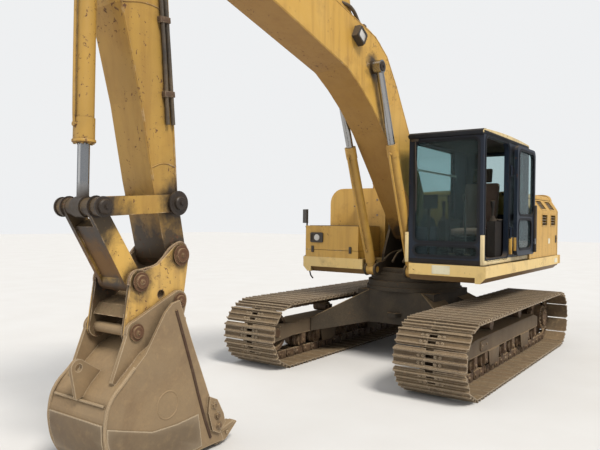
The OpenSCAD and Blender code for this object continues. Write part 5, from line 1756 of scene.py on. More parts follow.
@dataclass
class Cab(Assembly):
    """Cab with its windows, door, seat and controls."""

    front: float = 0.990
    rear: float = -0.900
    inner: float = 0.372
    outer: float = 1.316
    floor: float = 1.396
    roof: float = 2.896
    seat_x: float = -0.060
    seat_y: float = 0.844
    leaf: tuple[float, float] = (1.364, 1.409)
    leaf_x: tuple[float, float] = (-0.915, -0.050)
    doorway: tuple[float, float, float, float] = (0.005, 0.925, 1.396, 2.884)

    def build(self, nodes: dict[str, bpy.types.Object]) -> None:
        """Dress the cab.

        Args:
            nodes: The frame's nodes.
        """
        self.dress(
            nodes, ("cab_left_wall", "cab_right_wall", "cab_rear_wall", "cab_front_wall", "cab_door"),
            Coats.CAB,
        )
        self.dress(nodes, ("cab_floor", "seat_base", "consoles"), Coats.INSIDE)
        self.dress(nodes, ("cab_roof",), Coats.TRIM)
        self.dress(nodes, ("cab_glass", "cab_door_glass"), Coats.GLASS)
        self.dress(nodes, ("seat",), Coats.SEAT)
        self.gaskets()
        self.shell_trim()
        self.door_trim()
        self.controls()
        self.seat()

    def ring(
        self, shape: Shape, window: tuple[float, float, float, float], axis: Axis, at: float, thick: float,
        radius: float = 0.06,
    ) -> None:
        """Add the gasket of a window.

        Args:
            shape: Where it goes.
            window: Edges of the window along its wall and up.
            axis: Direction through the wall.
            at: Where the gasket starts along that direction.
            thick: How far it goes on, towards its outside.
            radius: Radius of the window's corners.
        """
        centre = ((window[0] + window[1]) / 2, (window[2] + window[3]) / 2)
        half = ((window[1] - window[0]) / 2, (window[3] - window[2]) / 2)
        loops = [
            rounded(centre, (half[0] + 0.018, half[1] + 0.018), radius + 0.018, 5),
            rounded(centre, (half[0] - 0.012, half[1] - 0.012), radius - 0.012, 5),
        ]
        shape.panel(loops[0], axis, at, thick, holes=[loops[1]])

    def gaskets(self) -> None:
        """Build the rubber round every window."""
        shape = Shape()
        low = self.floor
        for edges in ((0.452, 1.256, low + 0.210, low + 1.440), (0.452, 1.256, low + 0.040, low + 0.165)):
            self.ring(shape, edges, Axis.X, self.front - 0.004, 0.010)
        self.ring(shape, (-0.810, -0.185, low + 0.520, low + 1.420), Axis.Y, self.outer - 0.004, 0.009)
        self.ring(shape, (-0.390, 0.920, low + 0.380, low + 1.440), Axis.Y, self.inner + 0.004, -0.007)
        self.ring(shape, (0.602, 1.166, low + 0.560, low + 1.430), Axis.X, self.rear + 0.004, -0.009)
        self.deliver(shape, "window_gaskets", "black_plastic", Coats.GASKET)
        doorway = Shape()
        self.ring(doorway, self.doorway, Axis.Y, self.outer - 0.003, 0.009, 0.10)
        self.deliver(doorway, "doorway_seal", "black_plastic", Coats.GASKET)

    def shell_trim(self) -> None:
        """Build the roof's dark front, its lamp, the wiper, the strips and the rail of the cab."""
        dark = Shape()
        outline = [
            (-0.03, 2.896), (1.018, 2.896), (1.024, 2.914), (0.985, 2.938), (0.60, 2.955), (0.10, 2.962),
            (-0.03, 2.958),
        ]
        dark.panel(outline, Axis.Y, self.inner - 0.002, -0.006, 0.002)
        brow = [
            (0.982, 2.872), (1.028, 2.880), (1.032, 2.922), (0.990, 2.946), (0.905, 2.955), (0.905, 2.950),
            (0.978, 2.934),
        ]
        dark.panel(brow, Axis.Y, self.inner + 0.004, self.outer - self.inner - 0.008, 0.003)
        dark.box(
            (self.rear + 0.02, self.outer - 0.003, 2.885), (self.front, self.outer + 0.006, 2.926), 0.002,
        )
        dark.box((-0.71, 1.06, 2.955), (-0.58, 1.20, 2.962), 0.002)
        dark.box((-0.70, 1.08, 2.960), (-0.61, 1.18, 3.010), 0.012, 3)
        self.deliver(dark, "roof_front", "black_plastic", Coats.GASKET)
        lining = Shape()
        lining.box((-0.83, 0.44, 2.86), (0.92, 1.25, 2.894), 0.008)
        self.deliver(lining, "roof_lining", "black_plastic", Coats.INSIDE)
        wiper = Shape()
        wiper.box((0.990, 0.40, 2.842), (1.010, 0.50, 2.880), 0.006)
        wiper.rod((1.006, 0.46, 2.86), (1.010, 0.476, 2.32), 0.007, 8)
        wiper.box((0.996, 0.468, 1.98), (1.006, 0.484, 2.60), 0.003)
        self.deliver(wiper, "wiper", "black_plastic", Coats.PLASTIC)
        strips = Shape()
        strips.box(
            (self.front - 0.10, self.inner - 0.042, 1.345), (self.front + 0.008, self.inner + 0.006, 1.72),
            0.004,
        )
        strips.box(
            (self.front - 0.045, self.outer - 0.028, 1.345), (self.front + 0.006, self.outer + 0.010, 1.70),
            0.003,
        )
        strips.box(
            (self.rear, self.outer - 0.004, 1.345), (self.front - 0.047, self.outer + 0.006, 1.399), 0.002,
        )
        self.deliver(strips, "cab_strips", "paint", Coats.TRIM)
        rail = Shape()
        rail.box((-0.030, self.outer - 0.002, 1.44), (-0.002, self.outer + 0.042, 1.66), 0.005)
        self.deliver(rail, "hinge_side_pad", "paint", Coats.BODY)
        bar = Shape()
        bar.box((-0.40, self.inner + 0.062, 2.488), (0.925, self.inner + 0.080, 2.512), 0.004)
        self.deliver(bar, "window_bar", "dark_paint", Coats.BAR)

    def door_trim(self) -> None:
        """Build the door's gaskets, latch, striker and edge pad."""
        seals, latch, metal = Shape(), Shape(), Shape()
        low = self.floor
        x0, x1 = self.leaf_x[0] + 0.075, self.leaf_x[1] - 0.075
        for edges in ((x0, x1, low + 0.56, low + 1.41), (x0 + 0.100, x1, low + 0.11, low + 0.50)):
            self.ring(seals, edges, Axis.Y, self.leaf[1] - 0.003, 0.008, 0.09)
            self.ring(seals, edges, Axis.Y, self.leaf[0] + 0.003, -0.008, 0.09)
        self.deliver(seals, "door_gaskets", "black_plastic", Coats.GASKET, "cab_door")
        end, out = self.leaf_x[0], self.leaf[1]
        latch.box(
            (end + 0.010, self.leaf[0] - 0.015, 1.93), (end + 0.060, self.leaf[0] + 0.004, 2.05), 0.006,
        )
        latch.box((end + 0.028, out - 0.002, 1.445), (end + 0.068, out + 0.038, 2.10), 0.012, 3)
        self.deliver(latch, "door_latch", "black_plastic", Coats.PLASTIC, "cab_door")
        metal.box((end + 0.060, out + 0.004, 1.555), (end + 0.076, out + 0.034, 1.640), 0.005)
        metal.box((end - 0.0015, self.leaf[0] + 0.011, 1.64), (end + 0.005, out - 0.010, 1.76), 0.002)
        metal.rod(
            (end + 0.002, self.leaf[0] + 0.023, 1.88), (end - 0.007, self.leaf[0] + 0.023, 1.88), 0.012, 12,
        )
        self.deliver(metal, "door_striker", "cast_parts", Coats.CHROME, "cab_door")
        pad = Shape()
        pad.box(
            (self.leaf_x[1] - 0.002, self.leaf[0] + 0.004, 1.488),
            (self.leaf_x[1] + 0.0015, out - 0.006, 1.66), 0.001,
        )
        self.deliver(pad, "door_edge_pad", "paint", Coats.BODY, "cab_door")

    def controls(self) -> None:
        """Build the monitor, joysticks, levers, pedals and mats."""
        shape = Shape()
        y = self.seat_y
        for side in (-1, 1):
            top = (self.seat_x + 0.26, y + side * 0.33, self.floor + 0.659)
            shape.rod(
                (top[0], top[1], top[2] - 0.02), (top[0] + 0.015, top[1], top[2] + 0.075), 0.022, 14, 0.028,
                0.006,
            )
            shape.turned(
                [
                    (0.050, 0.0), (0.046, 0.015), (0.030, 0.03), (0.026, 0.045), (0.020, 0.055),
                    (0.018, 0.07),
                ],
                (top[0], top[1], self.floor + 0.470), (0, 0, 1), 20,
            )
            shape.box(
                (self.seat_x - 0.20, top[1] - 0.065, self.floor + 0.465),
                (self.seat_x + 0.20, top[1] + 0.065, self.floor + 0.50), 0.014, 3,
            )
            shape.rod(
                (0.52, y + side * 0.10, self.floor + 0.02), (0.60, y + side * 0.10, self.floor + 0.72),
                0.013, 10,
            )
            shape.rod(
                (0.60, y + side * 0.10, self.floor + 0.70), (0.61, y + side * 0.10, self.floor + 0.80),
                0.022, 14, 0.019, 0.006,
            )
            low = (0.50, y + side * 0.10 - 0.055, self.floor + 0.03)
            shape.box(low, (0.72, low[1] + 0.11, self.floor + 0.055), 0.008)
            shape.box((0.70, low[1], self.floor + 0.05), (0.73, low[1] + 0.11, self.floor + 0.12), 0.008)
        shape.box((0.74, 0.47, self.floor + 0.62), (0.78, 0.66, self.floor + 0.80), 0.012, 3)
        shape.rod((0.78, 0.55, self.floor + 0.01), (0.765, 0.55, self.floor + 0.66), 0.016, 12)
        shape.box((-0.02, 0.45, self.floor), (0.92, 1.24, self.floor + 0.008), 0.003)
        shape.box((-0.82, 0.45, self.floor), (-0.55, 1.24, self.floor + 0.46), 0.03, 3)
        self.deliver(shape, "controls", "black_plastic", Coats.INSIDE)
        screen = Shape()
        screen.box((0.736, 0.485, self.floor + 0.635), (0.7405, 0.645, self.floor + 0.785), 0.001)
        self.deliver(screen, "monitor_screen", "black_plastic", Coats.GLASS)

    def cushion(
        self, name: str, low: Point, high: Point, lean: float, foot: Point, coat: Coats,
        seams: Sequence[float],
    ) -> None:
        """Build one stuffed pad of the seat.

        Args:
            name: Its name.
            low: Its lowest corner before it leans.
            high: Its highest corner before it leans.
            lean: Angle in degrees by which it leans back.
            foot: Point round which it leans.
            coat: Its finish.
            seams: Shares of its width where it is sewn down.
        """
        bm = bmesh.new()
        size = Vector(high) - Vector(low)
        centre = (Vector(high) + Vector(low)) / 2
        bmesh.ops.create_cube(
            bm, size=1.0, matrix=Matrix.Translation(centre) @ Matrix.Diagonal((*size, 1.0)),
        )
        bmesh.ops.subdivide_edges(bm, edges=bm.edges[:], cuts=13, use_grid_fill=True)
        thin = min(range(3), key=lambda index: size[index])
        wide = [index for index in range(3) if index != thin]
        for vert in bm.verts:
            share = [(vert.co[index] - centre[index]) / (size[index] / 2) for index in range(3)]
            crown = max(0.0, (1 - share[wide[0]] ** 4) * (1 - share[wide[1]] ** 4))
            groove = sum(math.exp(-(((share[1] - seam) / 0.055) ** 2)) for seam in seams)
            full = 0.62 + 0.38 * crown ** 0.5 - 0.20 * groove * crown
            vert.co[thin] = centre[thin] + share[thin] * size[thin] / 2 * full
            for index in wide:
                belly = 1 - 0.05 * abs(share[thin]) ** 3
                vert.co[index] = centre[index] + share[index] * size[index] / 2 * belly
        bmesh.ops.smooth_vert(
            bm, verts=bm.verts, factor=0.5, use_axis_x=True, use_axis_y=True, use_axis_z=True,
        )
        turn = Matrix.Translation(Vector(foot)) @ Matrix.Rotation(
            math.radians(lean), 4, "Y",
        ) @ Matrix.Translation(-Vector(foot))
        bmesh.ops.transform(bm, matrix=turn, verts=bm.verts)
        shape = Shape()
        shape.take(bm)
        piece = self.deliver(shape, name, "seat_fabric", coat, stands_for=["seat"], crease=80)
        smooth = piece.modifiers.new("smooth", "SUBSURF")
        smooth.levels = smooth.render_levels = 1

    def seat(self) -> None:
        """Build the seat's pads."""
        base = (self.seat_x, self.seat_y, self.floor + 0.262)
        pads = (
            ("seat_pad", (-0.24, -0.25, 0), (0.27, 0.25, 0.12), 0.0, (0, 0, 0), Coats.SEAT, (-0.62, 0.62)),
            (
                "seat_back", (-0.26, -0.235, 0.10), (-0.14, 0.235, 0.74), -9.5, (-0.20, 0, 0.10),
                Coats.SEAT, (-0.6, 0.6),
            ),
            (
                "headrest", (-0.335, -0.13, 0.745), (-0.245, 0.13, 0.935), -9.5, (-0.29, 0, 0.74),
                Coats.SEAT_DARK, (),
            ),
        )
        for name, low, high, lean, foot, coat, seams in pads:
            low, high, foot = (
                [start + part for start, part in zip(base, move)] for move in (low, high, foot)
            )
            self.cushion(name, low, high, lean, foot, coat, seams)


@dataclass
class BoomTrim(Assembly):
    """Boom with its cylinders, pipes, lamp and welds."""

    half: float = 0.215
    eye: tuple[float, float] = (2.3057, 0.8841)
    lamp: tuple[float, float] = (2.7826, 0.9238)
    sections: tuple[tuple[float, float, float], ...] = (
        (0.196, 0.645, 0.859), (0.304, 0.881, 0.994), (0.375, 1.0, 1.099), (0.435, 1.0, 1.063),
        (0.49, 0.917, 0.924),
        (0.93, 0.265, 0.721),
    )

    def edge(self, top: bool, inset: float = 0.0) -> list[tuple[float, float]]:
        """Trace the boom's top or underside.

        Args:
            top: Whether it is the top.
            inset: Distance from it into the boom.

        Returns:
            Places along the pin line and above it.
        """
        points = []
        for share, rise, deep in self.sections:
            above = rise * BOOM_RISE - (0 if top else deep * BOOM_DEEP)
            points.append((share * BOOM_LEN, above + (-inset if top else inset)))
        return points

    def build(self, nodes: dict[str, bpy.types.Object]) -> None:
        """Dress the boom.

        Args:
            nodes: The frame's nodes.
        """
        self.dress(nodes, ("boom", "boom_cylinder_barrels"), Coats.BOOM)
        self.dress(nodes, ("boom_cylinder_rods", "stick_cylinder_rod", "bucket_cylinder_rod"), Coats.CHROME)
        self.dress(nodes, ("stick_cylinder_barrel",), Coats.BOOM)
        self.dress(nodes, ("boom_lamp",), Coats.PLASTIC)
        self.welds()
        self.pipes()
        self.lamp_glass()
        self.pins()

    def welds(self) -> None:
        """Build the welds along the boom's corners and over its joints."""
        beads = Shape()
        for side in (-1, 1):
            y = side * (self.half - 0.001)
            for top in (True, False):
                beads.tube(BOOM.line(self.edge(top, 0.012), y), 0.005, 6, False)
            for share in (0.304, 0.49):
                index = [section[0] for section in self.sections].index(share)
                up, low = self.edge(True)[index], self.edge(False)[index]
                middle = ((up[0] + low[0]) / 2 + 0.02, (up[1] + low[1]) / 2)
                beads.tube(BOOM.line([up, middle, low], y), 0.005, 6)
        self.deliver(beads, "boom_welds", "boom_paint", Coats.BOOM)

    def pipes(self) -> None:
        """Build the pipes on the boom's top, their clamps and the hoses at both ends."""
        pipes, clamps, hoses = Shape(), Shape(), Shape()
        line = [(along, above + 0.042) for along, above in self.edge(True)[:5]]
        line.insert(0, (0.62, 0.60))
        for y in (-0.15, -0.09, 0.09, 0.15):
            pipes.tube(BOOM.line(line, y), 0.016, 8)
            foot = [*BOOM.line([(0.63, 0.61), (0.40, 0.46)], y), BOOM.at(0.18, 0.30, y * 0.9)]
            hoses.tube([*foot, (-0.12, y * 0.8, 2.02), (-0.20, y * 0.8, 1.96)], 0.021, 10)
            along, above = line[-1]
            nose = ((-0.02, 0.0, y), (0.20, 0.04, y * 0.9), (0.34, -0.01, y * 0.62))
            hoses.tube([BOOM.at(along + on, above + up, across) for on, up, across in nose], 0.020, 10)
        for share in (0.24, 0.335, 0.405, 0.47):
            position = share * BOOM_LEN
            edge = self.edge(True)
            near = next(index for index in range(len(edge) - 1) if edge[index + 1][0] >= position)
            first, second = edge[near], edge[near + 1]
            above = first[1] + (second[1] - first[1]) * (position - first[0]) / (second[0] - first[0])
            for side in (-1, 1):
                centre = BOOM.at(position, above + 0.032, side * 0.12)
                along, up = BOOM.way(1, 0), BOOM.way(0, 1)
                slope = (second[1] - first[1]) / (second[0] - first[0])
                tilt = (along + up * slope).normalized()
                normal = Vector((0, 1, 0)).cross(tilt)
                outline = ((-0.03, -0.055), (0.03, -0.055), (0.03, 0.055), (-0.03, 0.055))
                corners = [centre + tilt * a + Vector((0, b, 0)) for a, b in outline]
                clamps.plate([corner - normal * 0.034 for corner in corners], normal * 0.064, 0.006)
        self.deliver(pipes, "boom_pipes", "boom_paint", Coats.BOOM)
        self.deliver(clamps, "boom_clamps", "cast_parts", Coats.CAST)
        self.deliver(hoses, "boom_hoses", "black_plastic", Coats.RUBBER)

    def lamp_glass(self) -> None:
        """Build the work lamp's bezel and lens."""
        bezel, lens = Shape(), Shape()
        along, up = BOOM.way(1, 0), BOOM.way(0, 1)
        centre = BOOM.at(*self.lamp, self.half + 0.070)
        outer = [centre + along * a + up * b for a, b in rounded((0, 0), (0.085, 0.075), 0.025)]
        inner = [centre + along * a + up * b for a, b in rounded((0, 0), (0.062, 0.053), 0.02)]
        bezel.plate(outer, (0, 0.014, 0), 0.0, [inner])
        lens.plate(
            [
                centre + along * a + up * b + Vector((0, 0.0005, 0))
                for a, b in rounded((0, 0), (0.064, 0.055), 0.02)
            ],
            (0, 0.006, 0), 0.002,
        )
        self.deliver(bezel, "boom_lamp_bezel", "black_plastic", Coats.PLASTIC)
        self.deliver(lens, "boom_lamp_lens", "black_plastic", Coats.LENS)

    def pins(self) -> None:
        """Build the pin collars, caps and cylinder fittings."""
        caps, fittings, collars = Shape(), Shape(), Shape()
        eye = BOOM.at(*self.eye)
        for side in (-1, 1):
            caps.rod((TIP.x, side * 0.2365, TIP.z), (TIP.x, side * 0.250, TIP.z), 0.070, 28, bevel=0.003)
            for at in spaced((TIP.x, side * 0.250, TIP.z), 0.045, 3, 30):
                caps.bolt(at, (0, side, 0), 0.013, 0.011)
            collars.turned(
                [(0.0, 0.012), (0.050, 0.012), (0.058, 0.008), (0.058, 0.0), (0.0, 0.0)],
                (eye.x, side * 0.3395, eye.z), (0, side, 0), 30,
            )
            collars.bolt((eye.x, side * 0.3515, eye.z), (0, side, 0), 0.016, 0.010)
        self.deliver(caps, "boom_tip_caps", "cast_parts", Coats.BOLT)
        self.deliver(collars, "boom_eye_pins", "cast_parts", Coats.GREASY)
        foot = Vector((0.700, 0.0, 1.200))
        way = (Vector((eye.x, 0, eye.z)) - foot).normalized()
        across = Vector((way.z, 0, -way.x))
        for side in (-1, 1):
            base = foot + Vector((0, side * CYLINDER_Y, 0))
            for reach in (0.30, 1.60):
                at = base + way * reach + across * 0.061
                fittings.rod(at - across * 0.01, at + across * 0.035, 0.022, 8)
            bends = ((1.60, 0.090), (1.50, 0.100), (0.40, 0.100), (0.30, 0.090))
            fittings.tube([base + way * reach + across * out for reach, out in bends], 0.012, 8)
        self.deliver(fittings, "boom_cylinder_fittings", "boom_paint", Coats.BOOM, "boom_barrels")


@dataclass
class StickTrim(Assembly):
    """Stick with its pipes, welds and pins."""

    half: float = 0.170
    rear: tuple[tuple[float, float], ...] = ((0.342, -0.075), (0.596, -0.063), (0.848, -0.050))
    front: tuple[tuple[float, float], ...] = (
        (0.068, 0.378), (0.19, 0.378), (0.374, 0.378), (0.604, 0.259), (0.801, 0.194),
    )

    def build(self, nodes: dict[str, bpy.types.Object]) -> None:
        """Dress the stick.

        Args:
            nodes: The frame's nodes.
        """
        self.dress(nodes, ("stick", "bucket_cylinder_barrel", "idler_links"), Coats.STICK)
        self.dress(nodes, ("power_link",), Coats.LINK)
        self.welds()
        self.hoses()
        self.pins()
        self.bucket_cylinder()

    def welds(self) -> None:
        """Build the welds along the stick's corners."""
        beads = Shape()
        for side in (-1, 1):
            y = side * self.half
            for edge, inset in ((self.front, -0.012), (self.rear, 0.012)):
                points = [(share * STICK_LEN, above + inset) for share, above in edge]
                beads.tube(STICK.line(points, y), 0.007, 6, False)
            for share, low, high in ((0.374, -0.07, 0.378), (0.77, -0.05, 0.20)):
                along = share * STICK_LEN
                points = [(along, low), (along - 0.03, (low + high) / 2), (along, high)]
                beads.tube(STICK.line(points, y), 0.006, 6)
        self.deliver(beads, "stick_welds", "boom_paint", Coats.STICK)

    def hoses(self) -> None:
        """Build the hoses on the stick's side and their clamps."""
        hoses, clamps = Shape(), Shape()
        for index, above in enumerate((0.02, 0.065)):
            points = [(0.44, above - 0.03), (0.70, above - 0.04), (1.30, above - 0.05)]
            points.append((1.95, above - 0.05 + 0.01 * index))
            hoses.tube(STICK.line(points, self.half + 0.022), 0.015, 8)
        for along in (0.62, 1.15, 1.70):
            outline = [(along, -0.05), (along + 0.045, -0.05), (along + 0.045, 0.05), (along, 0.05)]
            clamps.plate(STICK.line(outline, self.half), (0, 0.042, 0), 0.005)
        self.deliver(hoses, "stick_hoses", "black_plastic", Coats.RUBBER)
        self.deliver(clamps, "stick_clamps", "cast_parts", Coats.CAST)

    def boss(self, shape: Shape, at: Vector, y: float, side: int, radius: float, height: float) -> None:
        """Add a pin's end with its stepped collar and bolt.

        Args:
            shape: Where it goes.
            at: The pin's place.
            y: Distance of the face it stands on from the middle plane.
            side: 1 on the driver's left, -1 on the right.
            radius: Radius of the pin's collar.
            height: How far it stands out.
        """
        profile = [
            (0.0, height), (radius * 0.62, height), (radius * 0.72, height * 0.8),
            (radius * 0.74, height * 0.35),
            (radius, height * 0.30), (radius, 0.0), (0.0, 0.0),
        ]
        shape.turned(profile, (at.x, side * y, at.z), (0, side, 0), 26)
        shape.bolt((at.x, side * (y + height), at.z), (0, side, 0), 0.016, 0.010)

    def pins(self) -> None:
        """Build the collars and pin ends of the linkage."""
        stick, idler, link = Shape(), Shape(), Shape()
        for side in (-1, 1):
            self.boss(idler, IDLER_PIN, 0.226, side, 0.070, 0.040)
            self.boss(idler, LINK_TOP, 0.224, side, 0.072, 0.045)
            self.boss(stick, CYLINDER_FOOT, 0.112, side, 0.058, 0.026)
            idler.turned(
                [(0.048, 0.0), (0.090, 0.0), (0.094, 0.006), (0.094, 0.022), (0.048, 0.022)],
                (IDLER_PIN.x, side * 0.2145, IDLER_PIN.z), (0, side, 0), 28,
            )
        self.deliver(idler, "idler_bosses", "cast_parts", Coats.GREASY, "idler")
        self.deliver(stick, "bucket_cylinder_pin_ends", "cast_parts", Coats.GREASY)
        for low, high in ((-0.157, -0.151), (0.151, 0.157)):
            link.rod((LINK_TOP.x, low, LINK_TOP.z), (LINK_TOP.x, high, LINK_TOP.z), 0.078, 24)
        self.deliver(link, "link_washers", "cast_parts", Coats.GREASY, "power_link")

    def bucket_cylinder(self) -> None:
        """Build the fittings and the gland of the bucket cylinder."""
        shape = Shape()
        foot = CYLINDER_FOOT
        way = (LINK_TOP - foot).normalized()
        across = Vector((way.z, 0, -way.x))
        shape.turned(
            [(0.080, 0.0), (0.082, 0.004), (0.082, 0.018), (0.072, 0.024), (0.047, 0.024), (0.047, 0.0)],
            foot + way * 1.56, way, 32,
        )
        for reach in (0.20, 1.46):
            shape.rod(foot + way * reach - across * 0.03, foot + way * reach - across * 0.088, 0.018, 8)
        bends = ((1.46, 0.080), (1.36, 0.084), (0.30, 0.084), (0.20, 0.080))
        shape.tube([foot + way * reach - across * out for reach, out in bends], 0.010, 8)
        for at in spaced(foot + way * 1.583, 0.062, 8, out=across, up=(0, 1, 0)):
            shape.bolt(at, way, 0.010, 0.010)
        self.deliver(shape, "bucket_cylinder_fittings", "boom_paint", Coats.STICK, "bucket_barrel")


@dataclass
class BucketTrim(Assembly):
    """Quick coupler, bucket and teeth with their wear parts."""

    half: float = 0.320
    front_pin: tuple[float, float] = (0.040, -0.345)
    rear_pin: tuple[float, float] = (0.449, -0.529)

    def build(self, nodes: dict[str, bpy.types.Object]) -> None:
        """Dress the coupler and the bucket.

        Args:
            nodes: The frame's nodes.
        """
        self.dress(nodes, ("coupler",), Coats.COUPLER)
        self.dress(nodes, ("bucket", "bucket_teeth"), Coats.BUCKET)
        self.coupler_parts()
        self.wear_parts()
        self.side_parts()

    def coupler_parts(self) -> None:
        """Build the coupler's pin ends, rims and lock cylinder."""
        bosses, rims, lock = Shape(), Shape(), Shape()
        link = LINK_LOW - STICK_TIP
        for side in (-1, 1):
            pins = (
                (0.0, 0.0, 0.078, 0.228), (link.x, link.z, 0.070, 0.228), (*self.front_pin, 0.062, 0.258),
                (*self.rear_pin, 0.062, 0.258),
            )
            for x, z, radius, start in pins:
                place = BUCKET.at(x, z)
                profile = [
                    (0.0, 0.020), (radius * 0.66, 0.020), (radius * 0.72, 0.014), (radius * 0.72, 0.006),
                    (radius, 0.006), (radius, 0.0), (0.0, 0.0),
                ]
                bosses.turned(profile, (place.x, side * start, place.z), (0, side, 0), 26)
                bosses.bolt((place.x, side * (start + 0.020), place.z), (0, side, 0), 0.015, 0.010)
            arch = [
                (-0.094, -0.03), (-0.045, 0.090), (0.06, 0.075), (link.x * 0.56, link.z * 0.45 + 0.02),
                (link.x - 0.04, link.z + 0.085), (link.x + 0.06, link.z + 0.062),
                (link.x + 0.088, link.z - 0.02),
            ]
            rims.tube(BUCKET.line(arch, side * 0.1975), 0.010, 8)
        self.deliver(bosses, "coupler_pin_ends", "cast_parts", Coats.PIN)
        self.deliver(rims, "coupler_rims", "coupler_paint", Coats.HANGER)
        lock.rod(BUCKET.at(0.14, -0.262), BUCKET.at(0.36, -0.372), 0.040, 20, bevel=0.005)
        lock.rod(BUCKET.at(0.35, -0.367), BUCKET.at(0.41, -0.397), 0.022, 16)
        lock.tube(
            [
                BUCKET.at(0.15, -0.235, 0.03), BUCKET.at(0.10, -0.15, 0.06), BUCKET.at(0.05, -0.10, 0.10),
                BUCKET.at(0.02, 0.02, 0.16),
            ],
            0.011, 8,
        )
        self.deliver(lock, "coupler_lock", "cast_parts", Coats.CAST)

    def wear_parts(self) -> None:
        """Build the weld seams, heel plates and rims of the bucket."""
        seam, strips, hanger, heel = Shape(), Shape(), Shape(), Shape()
        for side in (-1, 1):
            y = side * self.half
            front = [(0.135, -0.400), (-0.02, -0.83), (-0.17, -1.27), (-0.245, -1.455)]
            seam.tube(BUCKET.line(front, y), 0.013, 6)
            rim = [
                (0.52, -0.765), (0.60, -0.84), (0.72, -0.96), (0.760, -1.10), (0.755, -1.22),
                (0.715, -1.36), (0.62, -1.48), (0.47, -1.528),
            ]
            strips.tube([BUCKET.at(x - 0.004, z + 0.006, y) for x, z in rim], 0.013, 8)
            ear = [(0.02, -0.505), (0.42, -0.702), (0.62, -0.868)]
            hanger.tube(BUCKET.line(ear, side * 0.2525), 0.010, 6)
            cheek = [
                (0.744, -1.125), (0.601, -1.171), (0.354, -1.246), (0.113, -1.252), (-0.106, -1.233),
                (-0.150, -1.495), (0.10, -1.520),
                (0.465, -1.516), (0.608, -1.470), (0.702, -1.355), (0.742, -1.22),
            ]
            heel.plate(BUCKET.line(cheek, y - side * 0.003), (0, side * 0.009, 0), 0.002)
        wrap = [
            (0.750, -1.10), (0.746, -1.22), (0.706, -1.36), (0.610, -1.475), (0.468, -1.522),
            (0.10, -1.526),
            (0.10, -1.540), (0.472, -1.536), (0.626, -1.486), (0.724, -1.365), (0.766, -1.222),
            (0.771, -1.10),
        ]
        heel.plate(BUCKET.line(wrap, -0.300), (0, 0.600, 0), 0.002)
        strips.tube([BUCKET.at(0.735, -0.985, -0.28), BUCKET.at(0.735, -0.985, 0.28)], 0.010, 8)
        self.deliver(seam, "bucket_side_welds", "bucket_steel", Coats.SEAM)
        self.deliver(heel, "heel_plates", "bucket_steel", Coats.HEEL)
        self.deliver(strips, "bucket_rims", "bucket_steel", Coats.BUCKET)
        self.deliver(hanger, "hanger_welds", "bucket_steel", Coats.HANGER)

    def side_parts(self) -> None:
        """Build the side cutters' bolts, the cast marks and the teeth's caps with their pins."""
        marks, bolts, caps = Shape(), Shape(), Shape()
        for side in (-1, 1):
            for x, z in ((-0.262, -1.200), (-0.300, -1.290), (-0.318, -1.375)):
                place = BUCKET.at(x, z)
                bolts.bolt((place.x, side * (self.half + 0.023), place.z), (0, side, 0), 0.024, 0.018)
            mark = BUCKET.at(0.205, -1.090)
            marks.turned(
                [(0.093, 0.0), (0.098, 0.004), (0.104, 0.004), (0.109, 0.0)],
                (mark.x, side * self.half, mark.z), (0, side, 0), 36,
            )
        for index in range(4):
            y = (index / 3 - 0.5) * 0.520
            outline = [
                (-0.360, -1.470), (-0.352, -1.448), (-0.440, -1.418), (-0.540, -1.398), (-0.545, -1.425),
                (-0.450, -1.452),
            ]
            caps.plate(BUCKET.line(outline, y - 0.044), (0, 0.088, 0), 0.004)
            caps.rod(BUCKET.at(-0.455, -1.470, y - 0.050), BUCKET.at(-0.455, -1.470, y + 0.050), 0.014, 12)
        self.deliver(marks, "cast_marks", "bucket_steel", Coats.MARK)
        self.deliver(bolts, "cutter_bolts", "cast_parts", Coats.BOLT)
        self.deliver(caps, "tooth_caps", "bucket_steel", Coats.BUCKET)


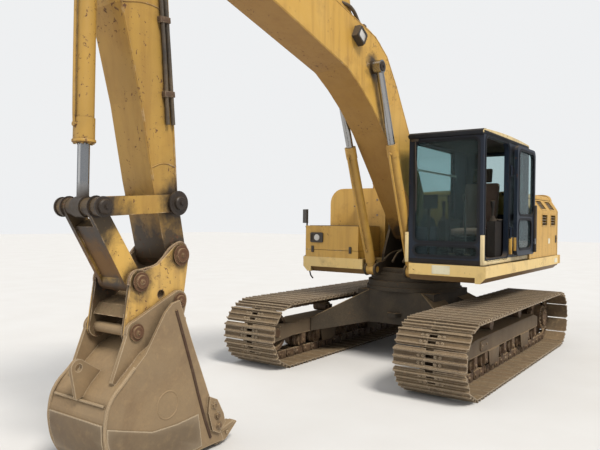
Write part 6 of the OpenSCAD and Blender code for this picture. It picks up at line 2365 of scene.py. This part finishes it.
@dataclass
class Studio:
    """Camera, lamps, floor and backdrop."""

    place: tuple[float, float, float] = (8.00, 3.69, 1.842)
    yaw: float = 215.406
    pitch: float = 0.398
    roll: float = -0.715
    focal: float = 609.9
    width: int = 600
    sensor: float = 36.0
    floor_size: float = 60.0
    floor_pale: Colour = (0.70, 0.69, 0.67)
    floor_dull: Colour = (0.63, 0.61, 0.58)
    sky: tuple[Colour, float] = ((0.90, 0.94, 1.0), 0.55)
    backdrop: tuple[Colour, float] = ((0.86, 0.87, 0.88), 1.0)
    lamp_colour: Colour = (1.0, 0.96, 0.90)
    suns: tuple[tuple[str, float, float, Colour], ...] = (
        ("sun", 3.0, 18.0, (-0.22, -0.56, -0.80)), ("fill", 0.6, 60.0, (-0.75, 0.45, -0.40)),
    )

    def build(self) -> None:
        """Set the stage."""
        self.camera()
        self.lamps()
        self.floor()

    def camera(self) -> None:
        """Place the camera where the photograph was taken."""
        yaw, pitch, roll = (math.radians(angle) for angle in (self.yaw, self.pitch, self.roll))
        ahead = Vector((math.cos(yaw) * math.cos(pitch), math.sin(yaw) * math.cos(pitch), -math.sin(pitch)))
        right = Vector((math.sin(yaw), -math.cos(yaw), 0.0))
        up = right.cross(ahead)
        level_right = right * math.cos(roll) - up * math.sin(roll)
        level_up = right * math.sin(roll) + up * math.cos(roll)
        data = bpy.data.cameras.new("camera")
        data.sensor_width = self.sensor
        data.lens = self.sensor * self.focal / self.width
        data.clip_end = 200.0
        camera = bpy.data.objects.new("camera", data)
        bpy.context.scene.collection.objects.link(camera)
        rows = [(level_right[i], level_up[i], -ahead[i], self.place[i]) for i in range(3)]
        camera.matrix_world = Matrix((*rows, (0.0, 0.0, 0.0, 1.0)))
        bpy.context.scene.camera = camera

    def lamps(self) -> None:
        """Light the machine softly from above, with a little more from the front left."""
        world = bpy.data.worlds.new("sky")
        world.use_nodes = True
        bpy.context.scene.world = world
        tree = Tree(world.node_tree)
        sky, seen = world.node_tree.nodes["Background"], tree.node("Background")
        for background, (colour, strength) in ((sky, self.sky), (seen, self.backdrop)):
            tree.feed(background.inputs["Color"], colour)
            tree.feed(background.inputs["Strength"], strength)
        light = tree.node("LightPath")
        chosen = tree.maths("MAXIMUM", light.outputs["Is Camera Ray"], light.outputs["Is Transmission Ray"])
        mixed = tree.node("MixShader")
        tree.feed(mixed.inputs[0], chosen)
        tree.feed(mixed.inputs[1], sky.outputs[0])
        tree.feed(mixed.inputs[2], seen.outputs[0])
        tree.feed(world.node_tree.nodes["World Output"].inputs["Surface"], mixed.outputs[0])
        for name, energy, angle, aim in self.suns:
            data = bpy.data.lights.new(name, "SUN")
            data.energy = energy
            data.angle = math.radians(angle)
            data.color = self.lamp_colour
            lamp = bpy.data.objects.new(name, data)
            lamp.rotation_euler = Vector(aim).to_track_quat("-Z", "Y").to_euler()
            bpy.context.scene.collection.objects.link(lamp)

    def floor(self) -> None:
        """Lay a pale floor."""
        bm = bmesh.new()
        bmesh.ops.create_grid(bm, x_segments=8, y_segments=8, size=self.floor_size)
        mesh = bpy.data.meshes.new("floor")
        bm.to_mesh(mesh)
        bm.free()
        floor = bpy.data.objects.new("floor", mesh)
        bpy.context.scene.collection.objects.link(floor)
        coat = Coat("floor")
        coat.colour = self.floor_pale
        patch = coat.tree.noise(coat.place, 1.2, 4.0, 0.5)
        coat.cover(coat.tree.ramp(patch, 0.35, 0.7, 0.0, 0.35), self.floor_dull)
        coat.rough = 0.9
        mesh.materials.append(coat.done(specular=0.2))
        floor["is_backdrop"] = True


def corners(box: Sequence[Sequence[float]]) -> list[list[float]]:
    """Turn a box into plain lists.

    Args:
        box: Its lowest and highest corners.

    Returns:
        The same as lists of numbers.
    """
    return [[float(number) for number in corner] for corner in box]


def main() -> None:
    """Build the scene round the frame."""
    logging.basicConfig(level=logging.INFO, format="%(name)s %(message)s")
    random.seed(7)
    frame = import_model()
    nodes = frame["nodes"]
    size = {"cad": corners(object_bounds())}
    Studio().build()
    for side in (1, -1):
        Track("undercarriage", side=side).build()
    Undercarriage("undercarriage").build(nodes)
    House("house").build(nodes)
    Cab("house").build(nodes)
    BoomTrim("boom").build(nodes)
    StickTrim("stick").build(nodes)
    BucketTrim("bucket").build(nodes)
    bpy.context.scene.view_settings.view_transform = "Standard"
    size["visual"] = corners(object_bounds())


if __name__ == "__main__":
    main()
